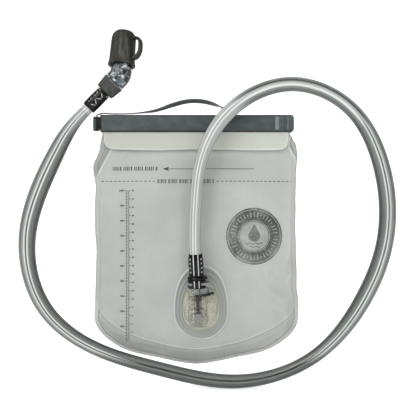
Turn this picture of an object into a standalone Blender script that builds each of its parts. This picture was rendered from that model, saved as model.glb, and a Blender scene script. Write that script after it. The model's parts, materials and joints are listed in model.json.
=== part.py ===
"""One-litre hydration bladder: a film reservoir with a fold-over mouth and slide-lock bar,
a quick-connect port, a drinking hose and a capped bite valve with a twist shut-off.

Blender units are metres, +Z is up and the front faces -Y. The origin is the centre of the
reservoir's flat back face. Sizes below are written in millimetres times MM.
"""

import math

import bmesh
import bpy
import numpy as np
from mathutils import Matrix, Vector

MM = 0.001

# --- Reservoir film -----------------------------------------------------
FILM = 0.5 * MM
SEAM_Y = -6.0 * MM
NECK_HALF_WIDTH = 80.4 * MM
NECK_Z = 92.0 * MM
# How far each side weld lies from the middle, (height, distance).
LEFT_SIDE = [
    (-61.0, 87.0), (-31.0, 86.0), (-11.0, 85.4), (25.0, 86.8), (48.0, 86.1),
    (66.0, 88.0), (84.0, 82.3), (92.0, 81.0),
]
RIGHT_SIDE = [
    (-61.0, 87.4), (-48.0, 87.3), (-36.0, 86.0), (20.0, 84.8), (56.0, 85.2),
    (76.0, 86.6), (84.0, 85.6), (92.0, 82.2),
]
GUSSET_HALF_WIDTH = 86.0 * MM
GUSSET_REACH = 0.955  # share of that width, so that its ends stay inside the side welds
BOTTOM_CORNER_Z = -61.0 * MM
BOTTOM_DROP = 41.0 * MM
BOTTOM_POWER_MIDDLE = 1.4
BOTTOM_POWER_SIDE = 1.9
BOTTOM_POWER_START = 0.33  # share of the half width where the one curve begins to turn into the other
BOTTOM_POWER_BLEND = 0.42
FRONT_BULGE = 11.85 * MM
FILM_COLUMNS = 20
BODY_ROWS = 14
GUSSET_RISE = 10.5 * MM
GUSSET_HALF = 0.4 * MM
SIDE_SEAM_HALF = 0.4 * MM
BOTTOM_SEAM_HALF = 1.2 * MM

# --- Folded mouth and slide bar -----------------------------------------
FOLD_TOP_Z = 102.6 * MM
FLAP_BOTTOM_Z = 80.6 * MM
FRONT_FOLD_Y = -7.3 * MM
FRONT_FOLD_RADIUS = 0.9 * MM
BACK_FOLD_Y = -8.4 * MM
BACK_FOLD_RADIUS = 2.8 * MM
FOLD_NARROWING = 0.985
FLAP_NARROWING = 0.97
STRIP_HALF_LENGTH = 71.5 * MM
STRIP_THICKNESS = 0.8 * MM
STRIP_BOTTOM_Z = 81.2 * MM
STRIP_TOP_Z = 101.2 * MM
FRONT_STRIP_Y = -9.15 * MM
BACK_STRIP_Y = -10.25 * MM
BAR_LEFT_X = -81.2 * MM
BAR_RIGHT_X = 82.9 * MM
BAR_BOTTOM_Z = 95.5 * MM
BAR_TOP_Z = 110.1 * MM
BAR_WALL = 1.6 * MM
BAR_END_WALL = 1.4 * MM
BAR_CAVITY_BACK_Y = -4.95 * MM
BAR_CAVITY_FRONT_Y = -11.85 * MM
BAR_ROOF = 2.9 * MM
BAR_EDGE_RADIUS = 1.5 * MM
BAR_CORNER_RADIUS = 3.0 * MM
BAR_RIDGES_X = (68.5 * MM, 77.0 * MM)
RIDGE_HALF_WIDTH = 2.2 * MM
RIDGE_HEIGHT = 0.9 * MM
RIDGE_INSET = 1.5 * MM
TONGUE_LENGTH = 6.0 * MM
TONGUE_INSET = 2.0 * MM
LEASH_SLOT_X = (-85.1 * MM, -83.5 * MM)
LEASH_SLOT_INSET = 4.0 * MM
LEASH_HALF_WIDTH = 2.3 * MM
LEASH_THICKNESS = 0.6 * MM
LEASH_TILT = math.radians(38.0)

# --- Port and quick connector, heights along the port axis ----------------
FLANGE_CENTRE = Vector((4.2, -18.8, -56.0)) * MM
FLANGE_RADIUS = 23.1 * MM
FLANGE_PEAK = 39.4 * MM
FLANGE_SQUARENESS = 2.3
HOUSING_CENTRE = Vector((4.2, -20.9, -54.2)) * MM
HOUSING_RADIUS = 14.7 * MM
HOUSING_PEAK = 20.0 * MM
HOUSING_HEIGHT = 11.0 * MM
HOUSING_WALL = 1.5 * MM
HOUSING_SQUARENESS = 3.6
HOUSING_DOME_END = 0.5 * math.pi * 0.86
PORT_POINT = Vector((1.96, -29.0, -54.6)) * MM
PORT_SIDE_TILT = math.radians(-2.6)
PORT_FORWARD_TILT = math.radians(4.0)
FILM_HOLE_RADIUS = 8.0 * MM
BORE_RADIUS = 5.9 * MM
LATCH_BOTTOM = 22.9 * MM
LATCH_TOP = 24.7 * MM
LATCH_HALF_DEPTH = 6.2 * MM
PAD_CENTRE_X = 1.9 * MM
PAD_INNER_RADIUS = 8.1 * MM
PAD_THICKNESS = 1.4 * MM
PAD_LOW = 15.0 * MM
PAD_HIGH = 20.4 * MM
PAD_TURNS = (-84.0, -24.0)
LEAF_THICKNESS = 0.2 * MM
LEAF_Y = (-2.95 * MM, -0.95 * MM)

# --- Hose and its fittings ------------------------------------------------
HOSE_RADIUS = 4.75 * MM
HOSE_WALL = 1.55 * MM
STRETCHED_RADIUS = 5.25 * MM
STRETCHED_BORE = 4.05 * MM
STRETCHED_LENGTH = 12.0 * MM
PORT_HOSE_START = 30.8 * MM
BITE_HOSE_END = 19.7 * MM
HOSE_SEGMENTS = 12
HOSE_STEPS = 52
BITE_POINT = Vector((-92.2, -18.0, 113.3)) * MM
BITE_TILT = math.radians(45.0)
ELBOW_REACH = 41.0 * MM
MOUTH_DIRECTION = Vector((0.065, 0.139, 0.988)).normalized()
ELBOW_BEND_RADIUS = 9.0 * MM
ELBOW_START = 33.6 * MM
ELBOW_SOCKET_END = 38.3 * MM
ELBOW_SOCKET_RADIUS = 5.65 * MM
LOOP_HALF_WIDTH = 3.0 * MM
LOOP_HALF_THICKNESS = 1.3 * MM
LOOP_TURN = math.radians(-28.0)
ROUND_SEGMENTS = 20
# Where the free hose runs between the two strain reliefs, (x, y, z), and its radius there.
HOSE_KNOTS = [
    (-0.4, -32.4, -6.6, 4.75),
    (0.0, -33.0, 31.9, 4.9),
    (4.8, -29.5, 70.6, 5.2),
    (24.2, -24.5, 107.5, 6.1),
    (81.0, -22.0, 134.4, 6.1),
    (130.5, -22.0, 112.5, 6.1),
    (153.1, -22.0, 72.0, 6.9),
    (156.8, -21.5, -2.0, 7.1),
    (139.1, -22.0, -45.8, 7.0),
    (100.1, -23.0, -91.6, 5.5),
    (32.0, -23.5, -113.2, 5.75),
    (-30.8, -23.0, -102.8, 5.8),
    (-86.4, -20.5, -85.3, 5.7),
    (-126.4, -18.0, -54.1, 6.3),
    (-141.9, -18.0, 3.2, 7.1),
    (-119.2, -18.0, 73.8, 7.3),
    (-105.0, -18.0, 98.6, 5.8),
    (-92.2, -18.0, 113.3, 4.75),
]


# --- Scene helpers ----------------------------------------------------------
def clear_scene():
    for thing in list(bpy.data.objects):
        bpy.data.objects.remove(thing, do_unlink=True)


def material(name, colour, roughness, metallic=0.0, transmission=0.0):
    made = bpy.data.materials.new(name)
    made.use_nodes = True
    shader = made.node_tree.nodes["Principled BSDF"]
    shader.inputs["Base Color"].default_value = (*colour, 1.0)
    shader.inputs["Roughness"].default_value = roughness
    shader.inputs["Metallic"].default_value = metallic
    shader.inputs["Transmission Weight"].default_value = transmission
    return made


def empty(name, matrix):
    made = bpy.data.objects.new(name, None)
    bpy.context.scene.collection.objects.link(made)
    made.matrix_basis = matrix
    return made


def solid(name, mesh, surface, frame=None, in_world=False, smooth_angle=35.0):
    """Turns a bmesh into a named object. With a frame, the mesh is in that frame's own
    axes, or in world axes when in_world is set."""
    bmesh.ops.recalc_face_normals(mesh, faces=mesh.faces)
    data = bpy.data.meshes.new(name)
    mesh.to_mesh(data)
    mesh.free()
    data.shade_smooth()
    data.set_sharp_from_angle(angle=math.radians(smooth_angle))
    made = bpy.data.objects.new(name, data)
    bpy.context.scene.collection.objects.link(made)
    if surface:
        data.materials.append(surface)
    if frame:
        made.parent = frame
    if frame and in_world:
        made.matrix_parent_inverse = frame.matrix_basis.inverted()
    return made


def loft(rings, closed=False):
    """Skins rings of equal point count. A closed loft joins the last ring to the first,
    and an open one is capped at both ends."""
    mesh = bmesh.new()
    rows = [[mesh.verts.new(point) for point in ring] for ring in rings]
    count = len(rows[0])
    neighbours = list(zip(rows, rows[1:]))
    if closed:
        neighbours.append((rows[-1], rows[0]))
    for lower, upper in neighbours:
        for i in range(count):
            j = (i + 1) % count
            mesh.faces.new((lower[i], lower[j], upper[j], upper[i]))
    if not closed:
        mesh.faces.new(rows[0])
        mesh.faces.new(rows[-1])
    return mesh


def circle(radius, height, segments=ROUND_SEGMENTS):
    turn = [2 * math.pi * i / segments for i in range(segments)]
    return [Vector((radius * math.cos(t), radius * math.sin(t), height)) for t in turn]


def turned(profile, closed=False, segments=ROUND_SEGMENTS):
    """A shape of revolution about local Z from (radius, height) pairs in millimetres."""
    return loft([circle(r * MM, h * MM, segments) for r, h in profile], closed)


def prism(outline, low, high, axis):
    """Extrudes a 2-D outline between two places on an axis. The outline's two numbers
    fill the other axes in X, Y, Z order."""
    rings = []
    for level in (low, high):
        ring = []
        for first, second in outline:
            point = [first, second]
            point.insert("XYZ".index(axis), level)
            ring.append(Vector(point))
        rings.append(ring)
    return loft(rings)


def block(low, high):
    outline = [(low[0], low[1]), (high[0], low[1]), (high[0], high[1]), (low[0], high[1])]
    return prism(outline, low[2], high[2], "Z")


def torus(ring_radius, wire_radius, height, segments=ROUND_SEGMENTS, wire_segments=8):
    rings = []
    for i in range(wire_segments):
        turn = 2 * math.pi * i / wire_segments
        radius = ring_radius + wire_radius * math.cos(turn)
        rings.append(circle(radius, height + wire_radius * math.sin(turn), segments))
    return loft(rings, closed=True)


def add_boolean(target, tool, operation):
    tool.hide_render = True
    tool.display_type = "WIRE"
    change = target.modifiers.new(operation.title(), "BOOLEAN")
    change.operation = operation
    change.object = tool
    change.solver = "EXACT"


def cut(target, tool):
    add_boolean(target, tool, "DIFFERENCE")


def join(target, tool):
    add_boolean(target, tool, "UNION")


def film_sheet(name, rows, thickness, surface):
    """A sheet through rows of points, given its thickness on both sides."""
    mesh = bmesh.new()
    grid = [[mesh.verts.new(point) for point in row] for row in rows]
    for lower, upper in zip(grid, grid[1:]):
        for i in range(len(lower) - 1):
            mesh.faces.new((lower[i], lower[i + 1], upper[i + 1], upper[i]))
    made = solid(name, mesh, surface, smooth_angle=60.0)
    thicken = made.modifiers.new("Solidify", "SOLIDIFY")
    thicken.thickness = thickness
    thicken.offset = 0.0
    thicken.use_even_offset = True
    return made


# --- Reservoir shape ----------------------------------------------------------
def ease(value):
    """Smooth step from 0 to 1."""
    value = min(max(value, 0.0), 1.0)
    return value * value * (3.0 - 2.0 * value)


def half_width(share, z):
    """Distance from the middle to the side weld on the share's own side."""
    knots = LEFT_SIDE if share < 0 else RIGHT_SIDE
    for (low, wide), (high, next_wide) in zip(knots, knots[1:]):
        if z <= high * MM or high == knots[-1][0]:
            climb = ease((z - low * MM) / ((high - low) * MM))
            return (wide + (next_wide - wide) * climb) * MM


def bottom_edge(share):
    """Height of the bottom weld at a share, -1 to 1, of the half width."""
    outward = ease((abs(share) - BOTTOM_POWER_START) / BOTTOM_POWER_BLEND)
    power = BOTTOM_POWER_MIDDLE + (BOTTOM_POWER_SIDE - BOTTOM_POWER_MIDDLE) * outward
    reach = max(1.0 - abs(share) ** power, 0.0)
    return BOTTOM_CORNER_Z - BOTTOM_DROP * math.sqrt(reach)


def seam_half(share, z):
    """Half the distance between the two panels along the welds."""
    above_gusset = (z - bottom_edge(share) - GUSSET_RISE) / (12.0 * MM)
    return BOTTOM_SEAM_HALF + (SIDE_SEAM_HALF - BOTTOM_SEAM_HALF) * ease(above_gusset)


def rounded_rise(distance, length):
    """Quarter-circle rise from 0 at the weld to 1 at the given length."""
    left = 1.0 - min(distance / length, 1.0)
    return math.sqrt(1.0 - left * left)


def egg_reach(x, z, centre, radius, peak):
    """Below 1 inside an egg outline: round below its centre and drawn out above it."""
    height = radius if z < centre.z else peak
    return math.hypot((x - centre.x) / radius, (z - centre.z) / height)


def front_film_y(share, z):
    distance = z - bottom_edge(share)
    side = (1.0 - abs(share) ** 3) ** 0.8
    top = 1.0 - ease((z - 42.0 * MM) / (50.0 * MM))
    full = rounded_rise(distance, 34.0 * MM) * top
    bulge = side * full
    reach = egg_reach(share * half_width(share, z), z, FLANGE_CENTRE, FLANGE_RADIUS, FLANGE_PEAK)
    flat = 1.0 - ease((reach - 1.25) / 0.5)
    bulge += (1.0 - bulge) * flat
    seam = seam_half(share, z)
    return SEAM_Y - seam - (FRONT_BULGE + SIDE_SEAM_HALF - seam) * bulge


def back_film_y(share, z):
    distance = z - bottom_edge(share)
    side = 1.0 - ease((abs(share) - 0.72) / 0.28)
    low = ease(distance / (20.0 * MM))
    top = 1.0 - ease((z - 50.0 * MM) / (44.0 * MM))
    seam = seam_half(share, z)
    lift = SEAM_Y + seam
    return lift + (-0.5 * FILM - lift) * side * low * top


def column_shares():
    """Shares of the half width for the film's columns, closer together at the sides."""
    turns = [math.pi * (i / FILM_COLUMNS - 0.5) for i in range(FILM_COLUMNS + 1)]
    return [0.45 * 2.0 * t / math.pi + 0.55 * math.sin(t) for t in turns]


def panel_rows(depth, fold_y, fold_radius):
    """Rows of one panel: up the body, over the mouth fold and down inside the flap."""
    shares = column_shares()
    rows = []
    for i in range(BODY_ROWS + 1):
        climb = i / BODY_ROWS
        row = []
        for share in shares:
            z = bottom_edge(share) + (NECK_Z - bottom_edge(share)) * climb
            row.append(Vector((share * half_width(share, z), depth(share, z), z)))
        rows.append(row)
    half_way = NECK_Z + 5 * MM
    rows.append([Vector((share * NECK_HALF_WIDTH, fold_y + fold_radius, half_way)) for share in shares])
    arc_steps = 6
    for i in range(arc_steps + 1):
        turn = math.pi * i / arc_steps
        y = fold_y + fold_radius * math.cos(turn)
        z = FOLD_TOP_Z + fold_radius * math.sin(turn)
        rows.append([Vector((share * NECK_HALF_WIDTH * FOLD_NARROWING, y, z)) for share in shares])
    flap_y = fold_y - fold_radius
    for share_down, narrow in ((0.75, FOLD_NARROWING), (1.0, FLAP_NARROWING)):
        z = FOLD_TOP_Z + (FLAP_BOTTOM_Z - FOLD_TOP_Z) * share_down
        rows.append([Vector((share * NECK_HALF_WIDTH * narrow, flap_y, z)) for share in shares])
    return rows


def make_panels(surface):
    front_rows = panel_rows(front_film_y, FRONT_FOLD_Y, FRONT_FOLD_RADIUS)
    front = film_sheet("front_panel", front_rows, FILM, surface)
    film_sheet("back_panel", panel_rows(back_film_y, BACK_FOLD_Y, BACK_FOLD_RADIUS), FILM, surface)
    hole_radius = FILM_HOLE_RADIUS / MM
    hole = solid("film_hole_cutter", turned([(hole_radius, -6), (hole_radius, 6)]), None)
    place = Matrix.Translation((PORT_POINT.x, FLANGE_CENTRE.y, PORT_POINT.z))
    hole.matrix_basis = place @ Matrix.Rotation(math.radians(90.0), 4, "X")
    cut(front, hole)


def make_gusset(surface):
    """A film folded like a roof between the panels, its two edges in the bottom weld."""
    shares = [GUSSET_REACH * share for share in column_shares()]
    arc_steps = 4
    climbs = (0.0, 0.5, 0.9)
    profile = [(GUSSET_HALF, climb, 0.0) for climb in climbs]
    for i in range(1, arc_steps):
        turn = math.pi * i / arc_steps
        profile.append((GUSSET_HALF * math.cos(turn), climbs[-1], math.sin(turn)))
    profile += [(-GUSSET_HALF, climb, 0.0) for climb in reversed(climbs)]
    rows = [[gusset_point(share, y, climb, arc) for share in shares] for y, climb, arc in profile]
    film_sheet("bottom_gusset", rows, FILM, surface)


def gusset_point(share, y, climb, arc):
    z = bottom_edge(share) + GUSSET_RISE * climb + GUSSET_HALF * arc
    return Vector((share * GUSSET_HALF_WIDTH, SEAM_Y + y, z))


def make_mouth_strips(surface):
    """Two stiffener strips inside the folded mouth, with rounded lower corners."""
    radius = 5.0 * MM
    corners = [
        (-STRIP_HALF_LENGTH + radius, STRIP_BOTTOM_Z + radius, 180.0),
        (STRIP_HALF_LENGTH - radius, STRIP_BOTTOM_Z + radius, 270.0),
    ]
    outline = []
    for x, z, start in corners:
        for step in range(5):
            turn = math.radians(start + 22.5 * step)
            outline.append((x + radius * math.cos(turn), z + radius * math.sin(turn)))
    outline += [(STRIP_HALF_LENGTH, STRIP_TOP_Z), (-STRIP_HALF_LENGTH, STRIP_TOP_Z)]
    for name, y in (("front_mouth_strip", FRONT_STRIP_Y), ("back_mouth_strip", BACK_STRIP_Y)):
        half = 0.5 * STRIP_THICKNESS
        solid(name, prism(outline, y - half, y + half, "Y"), surface)


# --- Slide bar and leash ------------------------------------------------------
def rounded_box_outline(low, high, radius, steps=4):
    """Corner-rounded rectangle as (first, second) pairs."""
    corners = [
        (low[0] + radius, low[1] + radius, 180.0),
        (high[0] - radius, low[1] + radius, 270.0),
        (high[0] - radius, high[1] - radius, 0.0),
        (low[0] + radius, high[1] - radius, 90.0),
    ]
    outline = []
    for first, second, start in corners:
        for step in range(steps + 1):
            turn = math.radians(start + 90.0 * step / steps)
            outline.append((first + radius * math.cos(turn), second + radius * math.sin(turn)))
    return outline


def make_slide_bar(surface):
    """A channel closed at its right-hand end, which slides off the folded mouth along +X."""
    front_y = BAR_CAVITY_FRONT_Y - BAR_WALL
    back_y = BAR_CAVITY_BACK_Y + BAR_WALL
    outline = rounded_box_outline((front_y, BAR_BOTTOM_Z), (back_y, BAR_TOP_Z), BAR_EDGE_RADIUS)
    frame = empty("slide_axis", Matrix.Translation((0.0, SEAM_Y, BAR_BOTTOM_Z)))
    bar = solid("slide_bar", prism(outline, BAR_LEFT_X, BAR_RIGHT_X, "X"), surface, frame, in_world=True)
    channel = block(
        (BAR_LEFT_X - 9 * MM, BAR_CAVITY_FRONT_Y, BAR_BOTTOM_Z - 5 * MM),
        (BAR_RIGHT_X - BAR_END_WALL, BAR_CAVITY_BACK_Y, BAR_TOP_Z - BAR_ROOF),
    )
    cut(bar, solid("channel_cutter", channel, None))
    for x in BAR_RIDGES_X:
        join(bar, solid("ridge_tool", bar_ridge(x, front_y), None))
    join(bar, bar_tongue(front_y))
    ends = rounded_box_outline(
        (BAR_LEFT_X - 20 * MM, BAR_BOTTOM_Z - 0.01 * MM),
        (BAR_RIGHT_X + 0.01 * MM, BAR_TOP_Z + 0.01 * MM),
        BAR_CORNER_RADIUS,
    )
    rounded_ends = solid("rounded_end_tool", prism(ends, -40 * MM, 20 * MM, "Y"), None)
    add_boolean(bar, rounded_ends, "INTERSECT")
    return frame


def bar_ridge(x, front_y):
    """One soft upright ridge on the bar's front face."""
    low = (x - RIDGE_HALF_WIDTH, front_y - RIDGE_HEIGHT)
    high = (x + RIDGE_HALF_WIDTH, front_y + 0.8 * MM)
    outline = rounded_box_outline(low, high, RIDGE_HEIGHT)
    return prism(outline, BAR_BOTTOM_Z + RIDGE_INSET, BAR_TOP_Z - RIDGE_INSET, "Z")


def bar_tongue(front_y):
    """The flat tongue at the bar's left-hand end, with the leash's slot through it."""
    tongue = solid("tongue_tool", block(
        (BAR_LEFT_X - TONGUE_LENGTH, front_y, BAR_BOTTOM_Z + TONGUE_INSET),
        (BAR_LEFT_X + 1 * MM, BAR_CAVITY_FRONT_Y, BAR_TOP_Z - TONGUE_INSET),
    ), None)
    slot = block(
        (LEASH_SLOT_X[0], front_y - 3 * MM, BAR_BOTTOM_Z + LEASH_SLOT_INSET),
        (LEASH_SLOT_X[1], BAR_CAVITY_FRONT_Y + 3 * MM, BAR_TOP_Z - LEASH_SLOT_INSET),
    )
    cut(tongue, solid("leash_slot_cutter", slot, None))
    return tongue


def make_leash(surface):
    """A film ribbon from behind the bar, over its top and down through the tongue's slot."""
    arch = [
        (31.0, -2.0, 82.0),
        (31.0, -2.2, 96.0),
        (30.6, -2.3, 110.6),
        (26.5, -4.4, 114.6),
        (17.5, -7.0, 118.8),
        (7.0, -8.2, 121.8),
        (-6.0, -8.8, 122.2),
        (-20.0, -9.2, 118.9),
        (-34.0, -9.4, 114.2),
        (-50.0, -9.6, 111.9),
        (-70.0, -9.8, 111.2),
        (-81.0, -10.6, 111.2),
        (-84.4, -12.4, 109.6),
    ]
    points = [Vector(point) * MM for point in arch]
    rows = []
    for i, point in enumerate(points):
        along = points[min(i + 1, len(points) - 1)] - points[max(i - 1, 0)]
        along.normalize()
        across = Vector((1.0, 0.0, 0.0)).lerp(Vector((0.0, 1.0, 0.0)), ease((i - 2) / 4))
        across = (across - along * across.dot(along)).normalized()
        tilt = LEASH_TILT * ease((i - 2) / 2) * ease((9 - i) / 2)
        across = Matrix.Rotation(tilt, 3, along) @ across
        rows.append([point - across * LEASH_HALF_WIDTH, point + across * LEASH_HALF_WIDTH])
    film_sheet("leash", rows, LEASH_THICKNESS, surface)


def make_leash_toggle(surface, frame):
    """The small bar at the leash's end, sitting in front of the tongue's slot."""
    outline = rounded_box_outline((-86.9 * MM, 96.0 * MM), (-81.4 * MM, 108.4 * MM), 1.2 * MM)
    solid("leash_toggle", prism(outline, -15.0 * MM, -13.8 * MM, "Y"), surface, frame, in_world=True)


# --- Port --------------------------------------------------------------------
def egg_ring(centre, radius, peak, y, power=2.0, segments=28):
    """A closed egg outline in an XZ plane, round below and drawn out above its centre."""
    ring = []
    for i in range(segments):
        turn = 2 * math.pi * i / segments
        across, up = math.cos(turn), math.sin(turn)
        if up > 0:
            across = math.copysign(abs(across) ** (2.0 / power), across)
            up = up ** (2.0 / power)
        ring.append(Vector((
            centre.x + radius * across,
            y,
            centre.z + (peak if up > 0 else radius) * up,
        )))
    return ring


def make_port_flange(surface):
    """The welded plate: a flat rim, two shallow steps and an egg-shaped opening."""
    back = FLANGE_CENTRE.y
    # (radius, front face's distance from the back face)
    steps = [(23.1, 0.9), (19.1, 0.9), (18.7, 1.35), (16.7, 1.35), (16.3, 1.8), (11.3, 1.8)]
    rings = []
    for radius, height in [(23.1, 0.0)] + steps + [(11.3, 0.0)]:
        share = radius * MM / FLANGE_RADIUS
        rings.append(egg_ring(
            FLANGE_CENTRE,
            FLANGE_RADIUS * share,
            FLANGE_PEAK * share,
            back - height * MM,
            FLANGE_SQUARENESS,
        ))
    solid("port_flange", loft(rings, closed=True), surface)


def make_port_housing(surface, frame):
    """The clear bell over the opening, with the connector's socket tube through it."""
    inner_rings, outer_rings = [], []
    dome_steps = 5
    for i in range(dome_steps + 1):
        rise = HOUSING_DOME_END * i / dome_steps
        for rings, inset in ((outer_rings, 0.0), (inner_rings, HOUSING_WALL)):
            shrink = (HOUSING_RADIUS - inset) / HOUSING_RADIUS * math.cos(rise)
            y = HOUSING_CENTRE.y - (HOUSING_HEIGHT - inset) * math.sin(rise)
            radius, peak = HOUSING_RADIUS * shrink, HOUSING_PEAK * shrink
            rings.append(egg_ring(HOUSING_CENTRE, radius, peak, y, HOUSING_SQUARENESS))
    shell = loft(inner_rings[::-1] + outer_rings)
    bell = solid("port_housing", shell, surface, frame, in_world=True)
    tube_profile = [(6.9, -11.4), (8.4, -6.5), (8.4, 13.5), (7.6, 14.6), (7.6, 20.4)]
    join(bell, solid("socket_tool", turned(tube_profile), None, frame))
    bore = turned([(BORE_RADIUS / MM, -10.2), (BORE_RADIUS / MM, 30)])
    cut(bell, solid("bore_cutter", bore, None, frame))
    window = block((-4.5 * MM, 1 * MM, -8 * MM), (4.5 * MM, 14 * MM, 5 * MM))
    cut(bell, solid("window_cutter", window, None, frame))


def make_socket_collar(surface, frame):
    collar = solid(
        "socket_collar",
        turned([(7.6, 20.8), (7.6, 26.9), (5.4, 26.9), (5.4, 20.8)], closed=True),
        surface,
        frame,
    )
    slot = block((-12 * MM, -6.6 * MM, 22.6 * MM), (12 * MM, 6.6 * MM, 25.0 * MM))
    cut(collar, solid("latch_slot_cutter", slot, None, frame))


def thumb_pad(low, high):
    """A curved plate that clears the socket's neck however far the latch is pressed."""
    steps = 6
    start, end = PAD_TURNS
    outline = []
    for radius, order in (
        (PAD_INNER_RADIUS, range(steps + 1)),
        (PAD_INNER_RADIUS + PAD_THICKNESS, range(steps, -1, -1)),
    ):
        for i in order:
            turn = math.radians(start + (end - start) * i / steps)
            outline.append((PAD_CENTRE_X + radius * math.cos(turn), radius * math.sin(turn)))
    return prism(outline, low, high, "Z")


def make_latch(surface, frame):
    """The keyhole plate in the collar's slot with its arm and thumb pad, pressed along -X."""
    plate = rounded_box_outline((-6.6 * MM, -LATCH_HALF_DEPTH), (9.6 * MM, LATCH_HALF_DEPTH), 1.5 * MM)
    latch = solid("latch_plate", prism(plate, LATCH_BOTTOM, LATCH_TOP, "Z"), surface, frame)
    keyhole = rounded_box_outline((-5.4 * MM, -5.4 * MM), (7.4 * MM, 5.4 * MM), 5.3 * MM, steps=6)
    cut(latch, solid("keyhole_cutter", prism(keyhole, 20 * MM, 28 * MM, "Z"), None, frame))
    arm_outline = [
        (8.4, 22.9), (9.8, 22.9), (9.8, 15.2), (13.6, 15.2), (13.6, 16.6),
        (11.2, 17.0), (11.2, 23.6), (10.4, 24.7), (8.4, 24.7),
    ]
    arm = prism([(x * MM, z * MM) for x, z in arm_outline], -LATCH_HALF_DEPTH, -1.3 * MM, "Y")
    join(latch, solid("latch_arm_tool", arm, None, frame))
    join(latch, solid("latch_pad_tool", thumb_pad(PAD_LOW, PAD_HIGH), None, frame))


def make_latch_spring(surface, frame):
    """A bowed leaf between the socket's neck and the thumb pad, drawn pressed."""
    rows = []
    steps = 6
    for i in range(steps + 1):
        climb = i / steps
        x = (7.98 - 0.12 * math.sin(math.pi * climb)) * MM
        z = (15.4 + 4.8 * climb) * MM
        rows.append([Vector((x, y, z)) for y in LEAF_Y])
    leaf = film_sheet("latch_spring", rows, LEAF_THICKNESS, surface)
    leaf.parent = frame


def make_valve(sleeve_surface, poppet_surface, rubber, steel, frame):
    """Inside the socket bore: seat sleeve, poppet with lip seal, spring and its cage."""
    sleeve = [(5.6, 15.4), (5.6, 20.2), (4.9, 20.2), (4.9, 15.4)]
    solid("seat_sleeve", turned(sleeve, closed=True), sleeve_surface, frame)
    poppet = [
        (1.4, -8.9), (1.4, 2.2), (4.9, 2.2), (4.9, 3.0), (3.0, 3.4),
        (3.0, 12.8), (2.2, 13.2), (2.2, 15.6),
    ]
    solid("poppet", turned(poppet), poppet_surface, frame)
    lip = [(3.35, 9.3), (3.35, 10.7), (5.1, 12.1), (5.5, 11.7), (4.3, 9.9)]
    solid("poppet_seal", turned(lip, closed=True), rubber, frame)
    cage = [(5.5, -9.8), (5.5, -1.2), (4.6, -1.2), (4.6, -8.8), (1.8, -8.8), (1.8, -9.8)]
    solid("spring_cage", turned(cage, closed=True), sleeve_surface, frame)
    spring = coil(3.4 * MM, 0.35 * MM, -8.1 * MM, 1.5 * MM, 4.0)
    solid("poppet_spring", spring, steel, frame)


def coil(radius, wire_radius, low, high, turns, steps_per_turn=12, wire_segments=6):
    steps = int(turns * steps_per_turn)
    rings = []
    for i in range(steps + 1):
        turn = 2 * math.pi * i / steps_per_turn
        out = Vector((math.cos(turn), math.sin(turn), 0.0))
        centre = out * radius + Vector((0.0, 0.0, low + (high - low) * i / steps))
        ring = []
        for k in range(wire_segments):
            angle = 2 * math.pi * k / wire_segments
            ring.append(
                centre + (out * math.cos(angle) + Vector((0, 0, math.sin(angle)))) * wire_radius
            )
        rings.append(ring)
    return loft(rings)


# --- Hose, plug and strain reliefs ----------------------------------------------
def make_plug(surface, rubber, frame):
    """The male half: grooved spigot, latch land, flange with an ear and a hose barb."""
    plug = [
        (4.2, 15.9), (4.2, 16.5), (3.4, 16.5), (3.4, 18.0), (4.2, 18.0), (4.2, 18.5),
        (3.4, 18.5), (3.4, 20.0), (4.2, 20.0), (4.2, 21.6), (5.0, 22.0), (5.0, 27.2),
        (7.6, 27.2), (7.9, 28.4), (6.4, 30.4), (3.3, 30.4), (3.3, 33.5), (3.7, 35.0),
        (3.3, 38.5), (3.7, 40.0), (3.0, 43.0), (2.4, 43.0), (2.4, 15.9),
    ]
    body = solid("plug", turned(plug, closed=True), surface, frame)
    ear = prism(
        [(5.0 * MM, 27.3 * MM), (9.2 * MM, 27.6 * MM), (8.6 * MM, 29.2 * MM), (5.0 * MM, 30.2 * MM)],
        -2.4 * MM, 2.4 * MM, "Y",
    )
    join(body, solid("plug_ear_tool", ear, None, frame))
    for name, height in (("plug_lower_ring", 17.25), ("plug_upper_ring", 19.25)):
        solid(name, torus(4.15 * MM, 0.44 * MM, height * MM), rubber, frame)


def strain_relief(name, surface, frame, base, direction, end_radius):
    """A boot over the end of the hose. The base is its fitting side and direction, 1 or -1,
    says which way along the frame's Z it narrows."""
    profile = [
        (6.05, 0.0), (6.2, 9.0), (6.1, 12.0), (end_radius, 17.4),
        (5.1, 17.4), (5.1, 14.2), (5.6, 12.8), (5.6, 0.0),
    ]
    shell = turned([(radius, base + direction * away) for radius, away in profile], closed=True)
    boot = solid(name, shell, surface, frame)
    slots = bmesh.new()
    for level in (2.6, 6.2, 9.8, 13.4):
        for side in (-1.0, 1.0):
            centre = Vector((side * 6.4 * MM, 0.0, (base + direction * level) * MM))
            size = Matrix.Diagonal((2.6 * MM, 6.0 * MM, 1.3 * MM, 1.0))
            bmesh.ops.create_cube(slots, size=1.0, matrix=Matrix.Translation(centre) @ size)
    cut(boot, solid(name + "_slot_cutter", slots, None, frame))


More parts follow.
